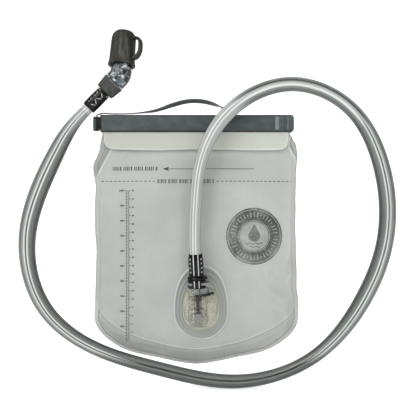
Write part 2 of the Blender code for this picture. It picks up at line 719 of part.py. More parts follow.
def spline_points(knots, start_slope, end_slope, count):
    """Evenly spaced points on a cubic spline through the knots with given end directions.
    Each knot, direction and point is (x, y, z, radius)."""
    knots = np.array(knots, float)
    lengths = np.linalg.norm(np.diff(knots, axis=0), axis=1)
    size = len(knots)
    system = np.zeros((size, size))
    target = np.zeros((size, 4))
    system[0, 0] = system[-1, -1] = 1.0
    target[0], target[-1] = start_slope, end_slope
    for i in range(1, size - 1):
        before, after = lengths[i - 1], lengths[i]
        system[i, i - 1], system[i, i], system[i, i + 1] = after, 2 * (before + after), before
        target[i] = 3 * (
            before * (knots[i + 1] - knots[i]) / after + after * (knots[i] - knots[i - 1]) / before
        )
    slopes = np.linalg.solve(system, target)
    fine = []
    for i in range(size - 1):
        for t in np.linspace(0.0, 1.0, 30, endpoint=i == size - 2):
            start = (2 * t**3 - 3 * t**2 + 1) * knots[i] + (t**3 - 2 * t**2 + t) * lengths[i] * slopes[i]
            end = (3 * t**2 - 2 * t**3) * knots[i + 1] + (t**3 - t**2) * lengths[i] * slopes[i + 1]
            fine.append(start + end)
    fine = np.array(fine)
    travelled = np.concatenate([[0.0], np.cumsum(np.linalg.norm(np.diff(fine, axis=0), axis=1))])
    wanted = np.linspace(0.0, travelled[-1], count)
    return [tuple(np.interp(w, travelled, fine[:, k]) for k in range(4)) for w in wanted]


def sweep_rings(points, radii, segments, start_side):
    """Circles square to a path, carried along it without twist."""
    rings = []
    side = start_side
    for i, point in enumerate(points):
        along = (points[min(i + 1, len(points) - 1)] - points[max(i - 1, 0)]).normalized()
        side = (side - along * side.dot(along)).normalized()
        other = along.cross(side)
        ring = []
        for k in range(segments):
            turn = 2 * math.pi * k / segments
            ring.append(point + (side * math.cos(turn) + other * math.sin(turn)) * radii[i])
        rings.append(ring)
    return rings


def swept_tube(points, outer, inner, segments, start_side):
    """A hollow tube along a path, open at both ends."""
    outside = sweep_rings(points, outer, segments, start_side)
    inside = sweep_rings(points, inner, segments, start_side)
    return loft(outside + list(reversed(inside)), closed=True)


def make_hose(surface, port_frame, bite_frame):
    port_axis = port_frame.matrix_basis.to_3x3() @ Vector((0, 0, 1))
    bite_axis = bite_frame.matrix_basis.to_3x3() @ Vector((0, 0, 1))
    knots = [Vector(knot) * MM for knot in HOSE_KNOTS]
    free = spline_points(knots, (*port_axis, 0.0), (*bite_axis, 0.0), HOSE_STEPS)[1:-1]
    steps = [0.0, STRETCHED_LENGTH, STRETCHED_LENGTH + 2.5 * MM]
    port_end = [PORT_POINT + port_axis * (PORT_HOSE_START + step) for step in steps]
    bite_end = [BITE_POINT + bite_axis * (BITE_HOSE_END - step) for step in reversed(steps)]
    points = port_end + [Vector(spot[:3]) for spot in free] + bite_end
    free_radii = [HOSE_RADIUS] + [spot[3] for spot in free] + [HOSE_RADIUS]
    outer = [STRETCHED_RADIUS] * 2 + free_radii + [STRETCHED_RADIUS] * 2
    free_bores = [radius - HOSE_WALL for radius in free_radii]
    inner = [STRETCHED_BORE] * 2 + free_bores + [STRETCHED_BORE] * 2
    tube = swept_tube(points, outer, inner, HOSE_SEGMENTS, Vector((1, 0, 0)))
    solid("hose", tube, surface, port_frame, in_world=True)


# --- Bite end, heights along the bite axis ---------------------------------------
def make_tailpiece(surface, frame):
    profile = [
        (3.0, 7.0), (3.7, 9.5), (3.3, 12.5), (3.7, 14.5), (3.3, 17.5), (3.3, 20.1),
        (6.0, 20.1), (6.0, 21.2), (4.3, 21.2), (4.3, 30.0), (1.6, 30.0), (1.6, 29.0),
        (2.4, 28.4), (2.4, 7.0),
    ]
    solid("tailpiece", turned(profile, closed=True), surface, frame)


def make_twist_collar(surface, rubber, frame):
    """The shut-off ring: a gripped skirt, a valve web and the spigot the elbow turns on."""
    profile = [
        (7.9, 21.5), (8.2, 22.2), (9.5, 31.8), (9.3, 33.2), (5.2, 33.2), (5.2, 34.4),
        (4.1, 34.4), (4.1, 35.8), (5.2, 35.8), (5.2, 38.0), (3.2, 38.0), (3.2, 31.6),
        (1.6, 31.6), (1.6, 30.4), (4.6, 30.4), (4.6, 21.5),
    ]
    solid("twist_collar", turned(profile, closed=True), surface, frame)
    solid("elbow_ring", torus(4.9 * MM, 0.48 * MM, 35.1 * MM), rubber, frame)


def make_elbow(surface, bite_frame, mouth_frame):
    bite_axis = bite_frame.matrix_basis.to_3x3() @ Vector((0, 0, 1))
    corner = mouth_frame.matrix_basis.translation
    bend = math.acos(bite_axis.dot(MOUTH_DIRECTION))
    run_in = ELBOW_BEND_RADIUS * math.tan(0.5 * bend)
    inward = (MOUTH_DIRECTION - bite_axis * math.cos(bend)).normalized()
    centre = corner - bite_axis * run_in + inward * ELBOW_BEND_RADIUS
    arc = []
    for i in range(7):
        turn = bend * i / 6
        arc.append(centre + (bite_axis * math.sin(turn) - inward * math.cos(turn)) * ELBOW_BEND_RADIUS)
    start = BITE_POINT + bite_axis * ELBOW_START
    socket_end = BITE_POINT + bite_axis * ELBOW_SOCKET_END
    points = [start, arc[0] - bite_axis * 0.6 * MM] + arc
    for height in (9.0, 9.3, 16.0):
        points.append(corner + MOUTH_DIRECTION * height * MM)
    straight = len(points) - 2
    outer = [9.0 * MM] * (straight - 1) + [8.3 * MM, 5.3 * MM, 5.3 * MM]
    inner = [3.9 * MM] * len(points)
    side = Vector((0, 1, 0))
    tube = swept_tube(points, outer, inner, ROUND_SEGMENTS, side)
    elbow = solid("elbow", tube, surface, bite_frame, in_world=True)
    socket_path = [start - bite_axis * 2 * MM, socket_end]
    socket = loft(sweep_rings(socket_path, [ELBOW_SOCKET_RADIUS] * 2, ROUND_SEGMENTS, side))
    cut(elbow, solid("elbow_socket_cutter", socket, None, bite_frame, in_world=True))


def make_bite_valve(surface, frame):
    profile = [
        (8.1, 9.7), (8.1, 12.6), (7.0, 15.0), (7.0, 20.0), (6.0, 24.0), (6.3, 31.5),
        (4.9, 34.0), (0.7, 34.4), (0.7, 33.2), (3.2, 32.4), (3.4, 18.5), (5.7, 16.6), (5.7, 9.7),
    ]
    solid("bite_valve", turned(profile, closed=True), surface, frame)


def make_dust_cap(surface, frame):
    """A domed cup over the bite valve with a D-shaped strap at its right side to pull it by."""
    profile = [
        (1.5, 37.4), (6.6, 36.4), (8.7, 33.2), (9.0, 14.0), (8.7, 8.6),
        (11.7, 8.4), (10.9, 12.5), (10.3, 32.0), (9.6, 35.4), (7.4, 38.0), (3.0, 39.4),
    ]
    cap = solid("dust_cap", turned(profile), surface, frame)
    path = [
        (9.9, 13.5), (14.0, 14.2), (17.0, 18.0), (17.6, 24.0), (16.4, 29.0), (13.5, 31.4), (9.6, 31.6),
    ]
    turn = Matrix.Rotation(LOOP_TURN, 3, "Z")
    flatten = Matrix.Diagonal((1.0, LOOP_HALF_WIDTH / LOOP_HALF_THICKNESS, 1.0))
    points = [Vector((x, 0.0, z)) * MM for x, z in path]
    rings = sweep_rings(points, [LOOP_HALF_THICKNESS] * len(points), 8, Vector((0, 1, 0)))
    strap = loft([[turn @ flatten @ point for point in ring] for ring in rings])
    join(cap, solid("pull_loop_tool", strap, None, frame))


# --- Assembly ------------------------------------------------------------------
def main():
    clear_scene()
    film = material("film", (0.50, 0.52, 0.50), 0.35, transmission=0.4)
    stiffener = material("stiffener", (0.58, 0.58, 0.52), 0.5)
    bar_plastic = material("bar_plastic", (0.085, 0.105, 0.11), 0.4)
    black = material("black_plastic", (0.02, 0.022, 0.026), 0.3)
    clear = material("clear_plastic", (0.62, 0.61, 0.52), 0.1, transmission=0.8)
    hose_clear = material("hose_clear", (0.75, 0.77, 0.77), 0.08, transmission=0.9)
    frosted = material("frosted_plastic", (0.35, 0.37, 0.37), 0.45, transmission=0.3)
    rubber = material("rubber", (0.015, 0.016, 0.018), 0.6)
    steel = material("spring_steel", (0.6, 0.6, 0.6), 0.25, metallic=1.0)
    silicone = material("silicone", (0.55, 0.57, 0.58), 0.4, transmission=0.3)
    cap_plastic = material("cap_plastic", (0.095, 0.095, 0.083), 0.5)
    collar_plastic = material("collar_plastic", (0.12, 0.133, 0.122), 0.5)

    port_frame = empty(
        "port_axis",
        Matrix.Translation(PORT_POINT)
        @ Matrix.Rotation(PORT_SIDE_TILT, 4, "Y")
        @ Matrix.Rotation(PORT_FORWARD_TILT, 4, "X"),
    )
    bite_frame = empty(
        "bite_axis", Matrix.Translation(BITE_POINT) @ Matrix.Rotation(BITE_TILT, 4, "Y")
    )
    elbow_corner = bite_frame.matrix_basis @ Vector((0, 0, ELBOW_REACH))
    across = Vector((1, 0, 0)) - MOUTH_DIRECTION * MOUTH_DIRECTION.x
    across.normalize()
    turn = Matrix((across, MOUTH_DIRECTION.cross(across), MOUTH_DIRECTION)).transposed()
    mouth_frame = empty("mouth_axis", Matrix.Translation(elbow_corner) @ turn.to_4x4())

    make_panels(film)
    make_gusset(film)
    make_mouth_strips(stiffener)
    slide_frame = make_slide_bar(bar_plastic)
    make_leash(film)
    make_leash_toggle(black, slide_frame)
    make_port_flange(film)
    make_port_housing(clear, port_frame)
    make_socket_collar(black, port_frame)
    make_latch(frosted, port_frame)
    make_latch_spring(steel, port_frame)
    make_valve(frosted, black, rubber, steel, port_frame)
    make_plug(black, rubber, port_frame)
    strain_relief("port_boot", black, port_frame, 30.8, 1, end_radius=5.5)
    make_hose(hose_clear, port_frame, bite_frame)
    strain_relief("bite_boot", black, bite_frame, 19.9, -1, end_radius=5.9)
    make_tailpiece(black, bite_frame)
    make_twist_collar(collar_plastic, rubber, bite_frame)
    make_elbow(clear, bite_frame, mouth_frame)
    make_bite_valve(silicone, mouth_frame)
    make_dust_cap(cap_plastic, mouth_frame)


main()
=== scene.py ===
import json
import math

import bmesh
import bpy
import numpy as np
from mathutils import Matrix, Vector
from mathutils.bvhtree import BVHTree


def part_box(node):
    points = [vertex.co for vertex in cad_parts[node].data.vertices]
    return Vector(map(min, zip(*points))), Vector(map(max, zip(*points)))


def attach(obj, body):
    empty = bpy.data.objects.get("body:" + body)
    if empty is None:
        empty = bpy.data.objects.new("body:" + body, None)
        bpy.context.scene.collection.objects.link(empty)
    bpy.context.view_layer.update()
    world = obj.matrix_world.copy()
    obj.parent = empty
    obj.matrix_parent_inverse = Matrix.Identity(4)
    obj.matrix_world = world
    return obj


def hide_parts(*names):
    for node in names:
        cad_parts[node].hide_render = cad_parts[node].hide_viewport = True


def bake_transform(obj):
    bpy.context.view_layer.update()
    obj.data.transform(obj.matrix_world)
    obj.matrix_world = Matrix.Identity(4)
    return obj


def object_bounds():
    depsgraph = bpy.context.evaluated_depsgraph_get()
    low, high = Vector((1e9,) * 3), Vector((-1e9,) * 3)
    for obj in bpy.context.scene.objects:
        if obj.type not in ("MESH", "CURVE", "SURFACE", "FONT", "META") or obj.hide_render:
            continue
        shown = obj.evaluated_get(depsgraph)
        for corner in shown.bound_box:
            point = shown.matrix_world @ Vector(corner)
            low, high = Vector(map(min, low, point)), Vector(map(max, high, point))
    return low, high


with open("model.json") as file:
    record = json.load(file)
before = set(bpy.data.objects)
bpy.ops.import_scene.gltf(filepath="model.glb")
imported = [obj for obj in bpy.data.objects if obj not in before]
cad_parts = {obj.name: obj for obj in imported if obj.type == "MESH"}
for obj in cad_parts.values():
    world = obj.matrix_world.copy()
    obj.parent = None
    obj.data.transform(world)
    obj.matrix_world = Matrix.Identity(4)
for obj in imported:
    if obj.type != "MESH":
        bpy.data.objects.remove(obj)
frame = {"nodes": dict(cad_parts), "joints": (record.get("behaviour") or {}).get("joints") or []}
cad_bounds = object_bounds()

MM = 0.001
X_AXIS, Y_AXIS = Vector((1.0, 0.0, 0.0)), Vector((0.0, 1.0, 0.0))


def mm(*lengths):
    """Lengths in metres, from millimetres."""
    return tuple(length * MM for length in lengths)


# --- Frame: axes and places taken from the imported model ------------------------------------
JOINTS = {joint["name"]: joint for joint in frame["joints"]}
PLUG_RING_HEIGHT, ELBOW_RING_HEIGHT, ELBOW_CORNER_HEIGHT = mm(17.25, 35.1, 41.0)


def middle(node):
    low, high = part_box(node)
    return (low + high) / 2


def joint_axis(name):
    return Vector(JOINTS[name]["axis"]).normalized()


def axis_frame(origin, axis, across=None):
    """A matrix at origin whose Z runs along axis and whose X lies near the world's X."""
    across = across or Y_AXIS.cross(axis).normalized()
    return Matrix.Translation(origin) @ Matrix((across, axis.cross(across), axis)).transposed().to_4x4()


PORT_AXIS = joint_axis("hose_unplug")
PORT_ORIGIN = middle("plug_lower_ring") - PORT_AXIS * PLUG_RING_HEIGHT
PORT = axis_frame(PORT_ORIGIN, PORT_AXIS)
BITE_AXIS = joint_axis("elbow_swivel")
BITE_ORIGIN = middle("elbow_ring") - BITE_AXIS * ELBOW_RING_HEIGHT
BITE = axis_frame(BITE_ORIGIN, BITE_AXIS)
MOUTH_AXIS = joint_axis("cap_pull")
MOUTH_ORIGIN = BITE_ORIGIN + BITE_AXIS * ELBOW_CORNER_HEIGHT
MOUTH = axis_frame(MOUTH_ORIGIN, MOUTH_AXIS, (X_AXIS - MOUTH_AXIS * MOUTH_AXIS.x).normalized())
CAMERA_PLACE = Vector((10.08, -600.0, 31.08)) * MM

# --- Reservoir sizes, in metres --------------------------------------------------------------
FILM = 0.42 * MM
SEAM_Y = -6.0 * MM
NECK_HALF_WIDTH, NECK_Z, NECK_WELD_RISE = mm(80.4, 92.0, 8.0)
GUSSET_HALF_WIDTH, GUSSET_RISE = mm(86.0, 10.5)
BOTTOM_CORNER_Z, BOTTOM_DROP = mm(-61.0, 41.0)
BOTTOM_POWER_MIDDLE, BOTTOM_POWER_SIDE = 1.4, 1.9
# The seam's half gap at the bottom weld, how much less it is above, and how far up it narrows.
SEAM_HALF_BOTTOM, SEAM_HALF_LESS, SEAM_NARROWING = mm(1.2, 0.8, 12.0)
# The front's bulge: its depth, its rise from the weld, and where and how long it fades upwards.
FRONT_BULGE, FRONT_SLACK, BULGE_RISE, BULGE_TOP_Z, BULGE_FADE = mm(11.85, 0.4, 34.0, 42.0, 50.0)
PORT_FLAT_REACH, PORT_FLAT_FADE, PORT_HELD_REACH = 1.25, 0.5, 1.12
# The back lies flat here, from this far above the bottom weld, and fades towards the neck.
BACK_FLAT_Y, BACK_RISE, BACK_TOP_Z, BACK_FADE = mm(-0.25, 20.0, 50.0, 44.0)
BACK_SIDE_SHARE = 0.72
# The line where the gusset's band starts: height at its ends, drop and half width in millimetres.
BAND_END_Z, BAND_DROP, BAND_HALF_WIDTH, BAND_POWER = -48.0, 40.5, 85.0, 1.5
FOLD_TOP_Z, FLAP_BOTTOM_Z, FLAP_CORNER = mm(102.6, 80.6, 7.0)
FRONT_FOLD_Y, FRONT_FOLD_RADIUS = mm(-7.3, 0.9)
BACK_FOLD_Y, BACK_FOLD_RADIUS = mm(-8.4, 2.8)
HELD_ABOVE_Z = 76.0 * MM
FOLD_NARROWING, FLAP_NARROWING = 0.985, 0.015
FILM_COLUMNS, BODY_ROWS, FOLD_STEPS, OUTLINE_STEPS = 120, 116, 24, 160
# What a point's distance in millimetres is set to where a line is out of its reach.
FAR = 50.0
# How far each side weld lies from the middle, (height, distance) in millimetres.
LEFT_SIDE = [(-61.0, 87.0), (-31.0, 86.0), (-11.0, 85.4), (25.0, 86.8), (48.0, 86.1), (66.0, 88.0),
             (84.0, 82.3), (92.0, 81.0)]
RIGHT_SIDE = [(-61.0, 87.4), (-48.0, 87.3), (-36.0, 86.0), (20.0, 84.8), (56.0, 85.2), (76.0, 86.6),
              (84.0, 85.6), (92.0, 82.2)]
# Creases from the ends of the flap down to the side welds, (x, z) in millimetres.
SHOULDER_CREASES = [
    [(-73.5, 88.0), (-71.9, 82.5), (-84.4, 57.5)],
    [(80.8, 95.0), (79.2, 83.9), (84.9, 73.0)],
]
# Creases pressed into the front film: (x, z) of both ends, width and height in millimetres.
CREASES = [
    ((-71.9, 82.5), (-84.4, 57.5), 1.3, 0.9), ((-60.0, 80.0), (-74.0, 70.0), 1.6, 0.4),
    ((79.2, 83.9), (84.9, 73.0), 1.2, 0.9), ((-60.0, 77.6), (-10.0, 76.4), 1.4, 0.35),
    ((-10.0, 76.4), (66.0, 78.4), 1.4, 0.30), ((20.0, 76.0), (30.0, 60.0), 2.2, 0.25),
    ((-66.0, -52.0), (-84.0, -62.0), 1.4, 0.5), ((66.0, -50.0), (84.0, -61.0), 1.4, 0.5),
]
FLANGE_CENTRE, HOUSING_CENTRE = Vector((4.2, -18.8, -56.0)) * MM, Vector((4.2, -20.9, -54.2)) * MM
FLANGE_RADIUS, FLANGE_PEAK, FLANGE_SQUARENESS = 23.1 * MM, 39.4 * MM, 2.3
HOUSING_RADIUS, HOUSING_PEAK, HOUSING_HEIGHT, HOUSING_WALL = mm(14.7, 20.0, 11.0, 1.5)
HOUSING_SQUARENESS = 3.6

# --- Slide bar and leash sizes, in millimetres -------------------------------------------------
BAR_LEFT_X, BAR_RIGHT_X = -81.2, 82.9
BAR_BOTTOM_Z, BAR_TOP_Z = 95.5, 110.1
BAR_BACK_Y, BAR_FRONT_Y = -3.35, -13.45
BAR_CAVITY_BACK_Y, BAR_CAVITY_FRONT_Y = -4.95, -11.85
RIDGE_PLACES, RIDGE_HALF_WIDTH = (68.5, 77.0), 2.6
LEASH_HALF_WIDTH, LEASH_THICKNESS, LEASH_TILT = 2.3, 0.6, math.radians(38.0)
LEASH_PATH = [
    (31.0, -2.0, 82.0), (31.0, -2.2, 96.0), (30.6, -2.3, 110.6), (26.5, -4.4, 114.6),
    (17.5, -7.0, 118.8), (7.0, -8.2, 121.8), (-6.0, -8.8, 122.2), (-20.0, -9.2, 118.9),
    (-34.0, -9.4, 114.2), (-50.0, -9.6, 111.9), (-70.0, -9.8, 111.2), (-81.0, -10.6, 111.2),
    (-84.4, -12.4, 109.6),
]

# --- Hose sizes, in millimetres ------------------------------------------------------------------
# Where the free hose runs, (x, y, z), and its radius there.
HOSE_KNOTS = [
    (-0.4, -32.4, -6.6, 4.75), (0.0, -33.0, 31.9, 4.9), (4.8, -29.5, 70.6, 5.2),
    (24.2, -24.5, 107.5, 6.1), (81.0, -22.0, 134.4, 6.1), (130.5, -22.0, 112.5, 6.1),
    (153.1, -22.0, 72.0, 6.9), (156.8, -21.5, -2.0, 7.1), (139.1, -22.0, -45.8, 7.0),
    (100.1, -23.0, -91.6, 5.5), (32.0, -23.5, -113.2, 5.75), (-30.8, -23.0, -102.8, 5.8),
    (-86.4, -20.5, -85.3, 5.7), (-126.4, -18.0, -54.1, 6.3), (-141.9, -18.0, 3.2, 7.1),
    (-119.2, -18.0, 73.8, 7.3), (-105.0, -18.0, 98.6, 5.8), (-92.2, -18.0, 113.3, 4.75),
]
HOSE_WALL, HOSE_SEGMENTS, HOSE_STEPS = 1.55, 40, 420
# The stretched ends: steps along the axis, and how stretched the hose is at each.
HOSE_END_STEPS, HOSE_END_STRETCH = (0.0, 6.0, 12.0, 13.2, 14.5), (1.0, 1.0, 1.0, 0.5, 0.0)
PORT_HOSE_START, BITE_HOSE_START = 30.8, 19.7
# Share of the way where the hose leaves the reservoir, and where it darkens near the bite end.
HOSE_LEAVES, HOSE_LEAVES_FADE, HOSE_DARKENS, HOSE_DARKENS_FADE = 0.135, 0.045, 0.945, 0.04
SLOT_LEVELS, SLOT_DEPTH, SLOT_LENGTH = (2.6, 6.2, 9.8, 13.4), 2.6, 4.4
# Rows of slots: turn about the axis, shift along it, width in millimetres, tilt in degrees.
PORT_SLOTS = [(turn, 0.0, 1.5, 0.0) for turn in (-28.0, 28.0, 152.0, 208.0)]
BITE_SLOTS = [(-126.0, 0.0, 1.0, 36.0), (-72.0, -0.6, 1.0, 36.0), (54.0, 0.0, 1.0, 36.0),
              (108.0, 0.0, 1.0, 36.0)]

# --- Printing sizes, in millimetres ----------------------------------------------------------------
SCALE_TOP_Z, SCALE_BOTTOM_Z = 45.8, -82.0
MILLILITRE_STEP, OUNCE_STEP = 12.75, 7.04
MILLILITRE_TEXT, OUNCE_TEXT = 1.5, 1.3
SCALE_LINES, SCALE_LINE_WIDTH = (-58.75, -57.05), 0.5
FILL_LINE_LOW_Z, FILL_LINE_HIGH_Z, DASH, DASH_STEP = 53.45, 54.0, 2.4, 3.7
ARROW_TIP_X, ARROW_END_X, ARROW_Z = -28.5, 49.0, 64.3
BADGE_X, BADGE_Z, BADGE_RADIUS = 49.1, 7.3, 24.0


# --- Mesh helpers --------------------------------------------------------------------------------
CUT_SHARP_ANGLE, BEVEL_ANGLE = math.radians(38.0), math.radians(35.0)


def ease(value):
    value = min(max(value, 0.0), 1.0)
    return value * value * (3.0 - 2.0 * value)


def full_turn(count):
    return [2 * math.pi * i / count for i in range(count)]


def link_object(name, data):
    made = bpy.data.objects.new(name, data)
    bpy.context.scene.collection.objects.link(made)
    return made


def add_object(name, mesh, surface=None, matrix=None, sharp_angle=40.0):
    """A bmesh as a smooth-shaded object, with its mesh in the row frame."""
    bmesh.ops.recalc_face_normals(mesh, faces=mesh.faces)
    data = bpy.data.meshes.new(name)
    mesh.to_mesh(data)
    mesh.free()
    if matrix:
        data.transform(matrix)
    data.shade_smooth()
    data.set_sharp_from_angle(angle=math.radians(sharp_angle))
    if surface:
        data.materials.append(surface)
    return link_object(name, data)


def apply_modifiers(obj):
    """Replaces the object's mesh by its evaluated mesh."""
    graph = bpy.context.evaluated_depsgraph_get()
    graph.update()
    baked = bpy.data.meshes.new_from_object(obj.evaluated_get(graph), depsgraph=graph)
    obj.modifiers.clear()
    obj.data = baked


def combine(target, tool_mesh, matrix=None, operation="DIFFERENCE"):
    """Cuts a shape out of the target, or joins it on, with the exact solver."""
    tool = add_object("tool", tool_mesh, None, matrix)
    change = target.modifiers.new("combine", "BOOLEAN")
    change.operation = operation
    change.object = tool
    change.solver = "EXACT"
    apply_modifiers(target)
    bpy.data.objects.remove(tool, do_unlink=True)
    target.data.shade_smooth()
    target.data.set_sharp_from_angle(angle=CUT_SHARP_ANGLE)


def bevel(obj, width, segments=2):
    edge = obj.modifiers.new("edge", "BEVEL")
    edge.width = width * MM
    edge.segments = segments
    edge.limit_method = "ANGLE"
    edge.angle_limit = BEVEL_ANGLE
    edge.harden_normals = True
    apply_modifiers(obj)


def thicken(obj, thickness):
    change = obj.modifiers.new("thickness", "SOLIDIFY")
    change.thickness = thickness
    change.offset = 0.0
    apply_modifiers(obj)


def join_rows(mesh, lower, upper, ringed):
    for i in range(len(lower) if ringed else len(lower) - 1):
        j = (i + 1) % len(lower)
        mesh.faces.new((lower[i], lower[j], upper[j], upper[i]))


def add_rows(mesh, points, ringed=False):
    """Adds rows of points and the faces between neighbouring rows."""
    rows = [[mesh.verts.new(point) for point in row] for row in points]
    for lower, upper in zip(rows, rows[1:]):
        join_rows(mesh, lower, upper, ringed)
    return rows


def sheet(points, ringed=False):
    mesh = bmesh.new()
    add_rows(mesh, points, ringed)
    return mesh


def loft(rings, closed=False):
    """A skin through rings, closed onto its first ring or capped at both ends."""
    mesh = bmesh.new()
    rows = add_rows(mesh, rings, ringed=True)
    if closed:
        join_rows(mesh, rows[-1], rows[0], True)
    else:
        mesh.faces.new(rows[0])
        mesh.faces.new(rows[-1])
    return mesh


def circle(radius, height, segments=64):
    return [Vector((radius * math.cos(a), radius * math.sin(a), height)) for a in full_turn(segments)]


def softened(profile, radius=0.25, steps=3):
    """The same profile, in millimetres, with each corner cut back to a small arc."""
    points = [Vector(p) for p in profile]
    out = []
    for i, corner in enumerate(points):
        before, after = points[i - 1] - corner, points[(i + 1) % len(points)] - corner
        cut = min(radius, 0.35 * before.length, 0.35 * after.length)
        start, end = corner + before.normalized() * cut, corner + after.normalized() * cut
        for k in range(steps + 1):
            t = k / steps
            out.append(start * (1 - t) ** 2 + corner * 2 * t * (1 - t) + end * t * t)
    return [(p.x, p.y) for p in out]


def turned_ring(profile, segments=64, corner=0.25, steps=3):
    """A closed shape of revolution with softened corners, from (radius, height) in mm."""
    return loft([circle(r * MM, h * MM, segments) for r, h in softened(profile, corner, steps)], closed=True)


def turned_solid(profile):
    return loft([circle(r * MM, h * MM) for r, h in profile])


def box_mesh(low, high):
    """A box between two corners in millimetres."""
    low, high = mm(*low), mm(*high)
    size = [h - l for l, h in zip(low, high)]
    centre = [(l + h) / 2 for l, h in zip(low, high)]
    mesh = bmesh.new()
    place = Matrix.Translation(centre) @ Matrix.Diagonal((*size, 1.0))
    bmesh.ops.create_cube(mesh, size=1.0, matrix=place)
    return mesh


def rounded_outline(low, high, radius, steps=8):
    """Corners of a rectangle with rounded corners."""
    corners = [
        (low[0] + radius, low[1] + radius, 180.0), (high[0] - radius, low[1] + radius, 270.0),
        (high[0] - radius, high[1] - radius, 0.0), (low[0] + radius, high[1] - radius, 90.0),
    ]
    outline = []
    for first, second, start in corners:
        for step in range(steps + 1):
            turn = math.radians(start + 90.0 * step / steps)
            outline.append((first + radius * math.cos(turn), second + radius * math.sin(turn)))
    return outline


def prism(outline, low, high, axis):
    """A flat outline drawn out along an axis, all in millimetres."""
    rings = []
    for level in (low, high):
        ring = []
        for spot in outline:
            point = list(mm(*spot))
            point.insert("XYZ".index(axis), level * MM)
            ring.append(Vector(point))
        rings.append(ring)
    return loft(rings)


def direction(points, i):
    """From the point before to the point after."""
    return points[min(i + 1, len(points) - 1)] - points[max(i - 1, 0)]


def sweep_rings(points, radii, segments, side):
    """Circles round a path, turned as little as possible from one to the next."""
    rings = []
    for i, point in enumerate(points):
        along = direction(points, i).normalized()
        side = (side - along * side.dot(along)).normalized()
        other = along.cross(side)
        ring = [side * math.cos(t) + other * math.sin(t) for t in full_turn(segments)]
        rings.append([point + out * radii[i] for out in ring])
    return rings


def swept_tube(points, outer, inner, segments, side):
    outside = sweep_rings(points, outer, segments, side)
    inside = sweep_rings(points, inner, segments, side)
    return loft(outside + inside[::-1], closed=True)


def between(t, length, start, end, start_slope, end_slope):
    """A point on a cubic curve between two points with given slopes."""
    first = (2 * t**3 - 3 * t**2 + 1) * start + (t**3 - 2 * t**2 + t) * length * start_slope
    return first + (3 * t**2 - 2 * t**3) * end + (t**3 - t**2) * length * end_slope


def travelled_along(spots):
    return np.concatenate([[0.0], np.cumsum(np.linalg.norm(np.diff(spots, axis=0), axis=1))])


def curve_through(points, count):
    """Evenly spread points on a smooth curve through the given points."""
    spots = np.array([tuple(p) for p in points])
    travelled = travelled_along(spots)
    slopes = np.gradient(spots, travelled, axis=0)
    out = []
    for wanted in np.linspace(0, travelled[-1], count):
        i = min(np.searchsorted(travelled, wanted, side="right") - 1, len(spots) - 2)
        gap = travelled[i + 1] - travelled[i]
        t = (wanted - travelled[i]) / gap
        out.append(Vector(between(t, gap, spots[i], spots[i + 1], slopes[i], slopes[i + 1])))
    return out


def add_values(obj, **values):
    """Stores a number at every point of the mesh for each name."""
    for name, numbers in values.items():
        layer = obj.data.attributes.new(name, "FLOAT", "POINT")
        layer.data.foreach_set("value", np.asarray(numbers, np.float32))


def point_places(obj):
    return np.array([v.co for v in obj.data.vertices])


def move_points(obj, places):
    obj.data.vertices.foreach_set("co", places.ravel())
    obj.data.update()


def keep(obj, body, slot, *replaced):
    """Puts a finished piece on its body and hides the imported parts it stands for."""
    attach(obj, body)
    if replaced:
        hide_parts(*replaced)


# --- Material helpers --------------------------------------------------------------------------
class Signal:
    """A value that flows between a material's nodes. Arithmetic on it adds more nodes."""

    def __init__(self, nodes, socket):
        self.nodes, self.socket = nodes, socket

    def math(self, operation, second=0.0, clamp=False):
        return self.nodes.add("Math", {0: self, 1: second}, operation=operation, use_clamp=clamp)

    def __add__(self, other):
        return self.math("ADD", other)

    def __sub__(self, other):
        return self.math("SUBTRACT", other)

    def __rsub__(self, other):
        return self.nodes.add("Math", {0: other, 1: self}, operation="SUBTRACT")

    def __mul__(self, other):
        return self.math("MULTIPLY", other)

    def __pow__(self, other):
        return self.math("POWER", other)

    def span(self, low, high, out_low=0.0, out_high=1.0):
        """A smooth change from out_low to out_high between two values."""
        ranges = {"Value": self, "From Min": low, "From Max": high, "To Min": out_low, "To Max": out_high}
        return self.nodes.add("MapRange", ranges, "Result", interpolation_type="SMOOTHSTEP")

    def band(self, start, full, full_end, end):
        """1 between full and full_end, and 0 before start and after end."""
        return self.span(start, full) * self.span(end, full_end)


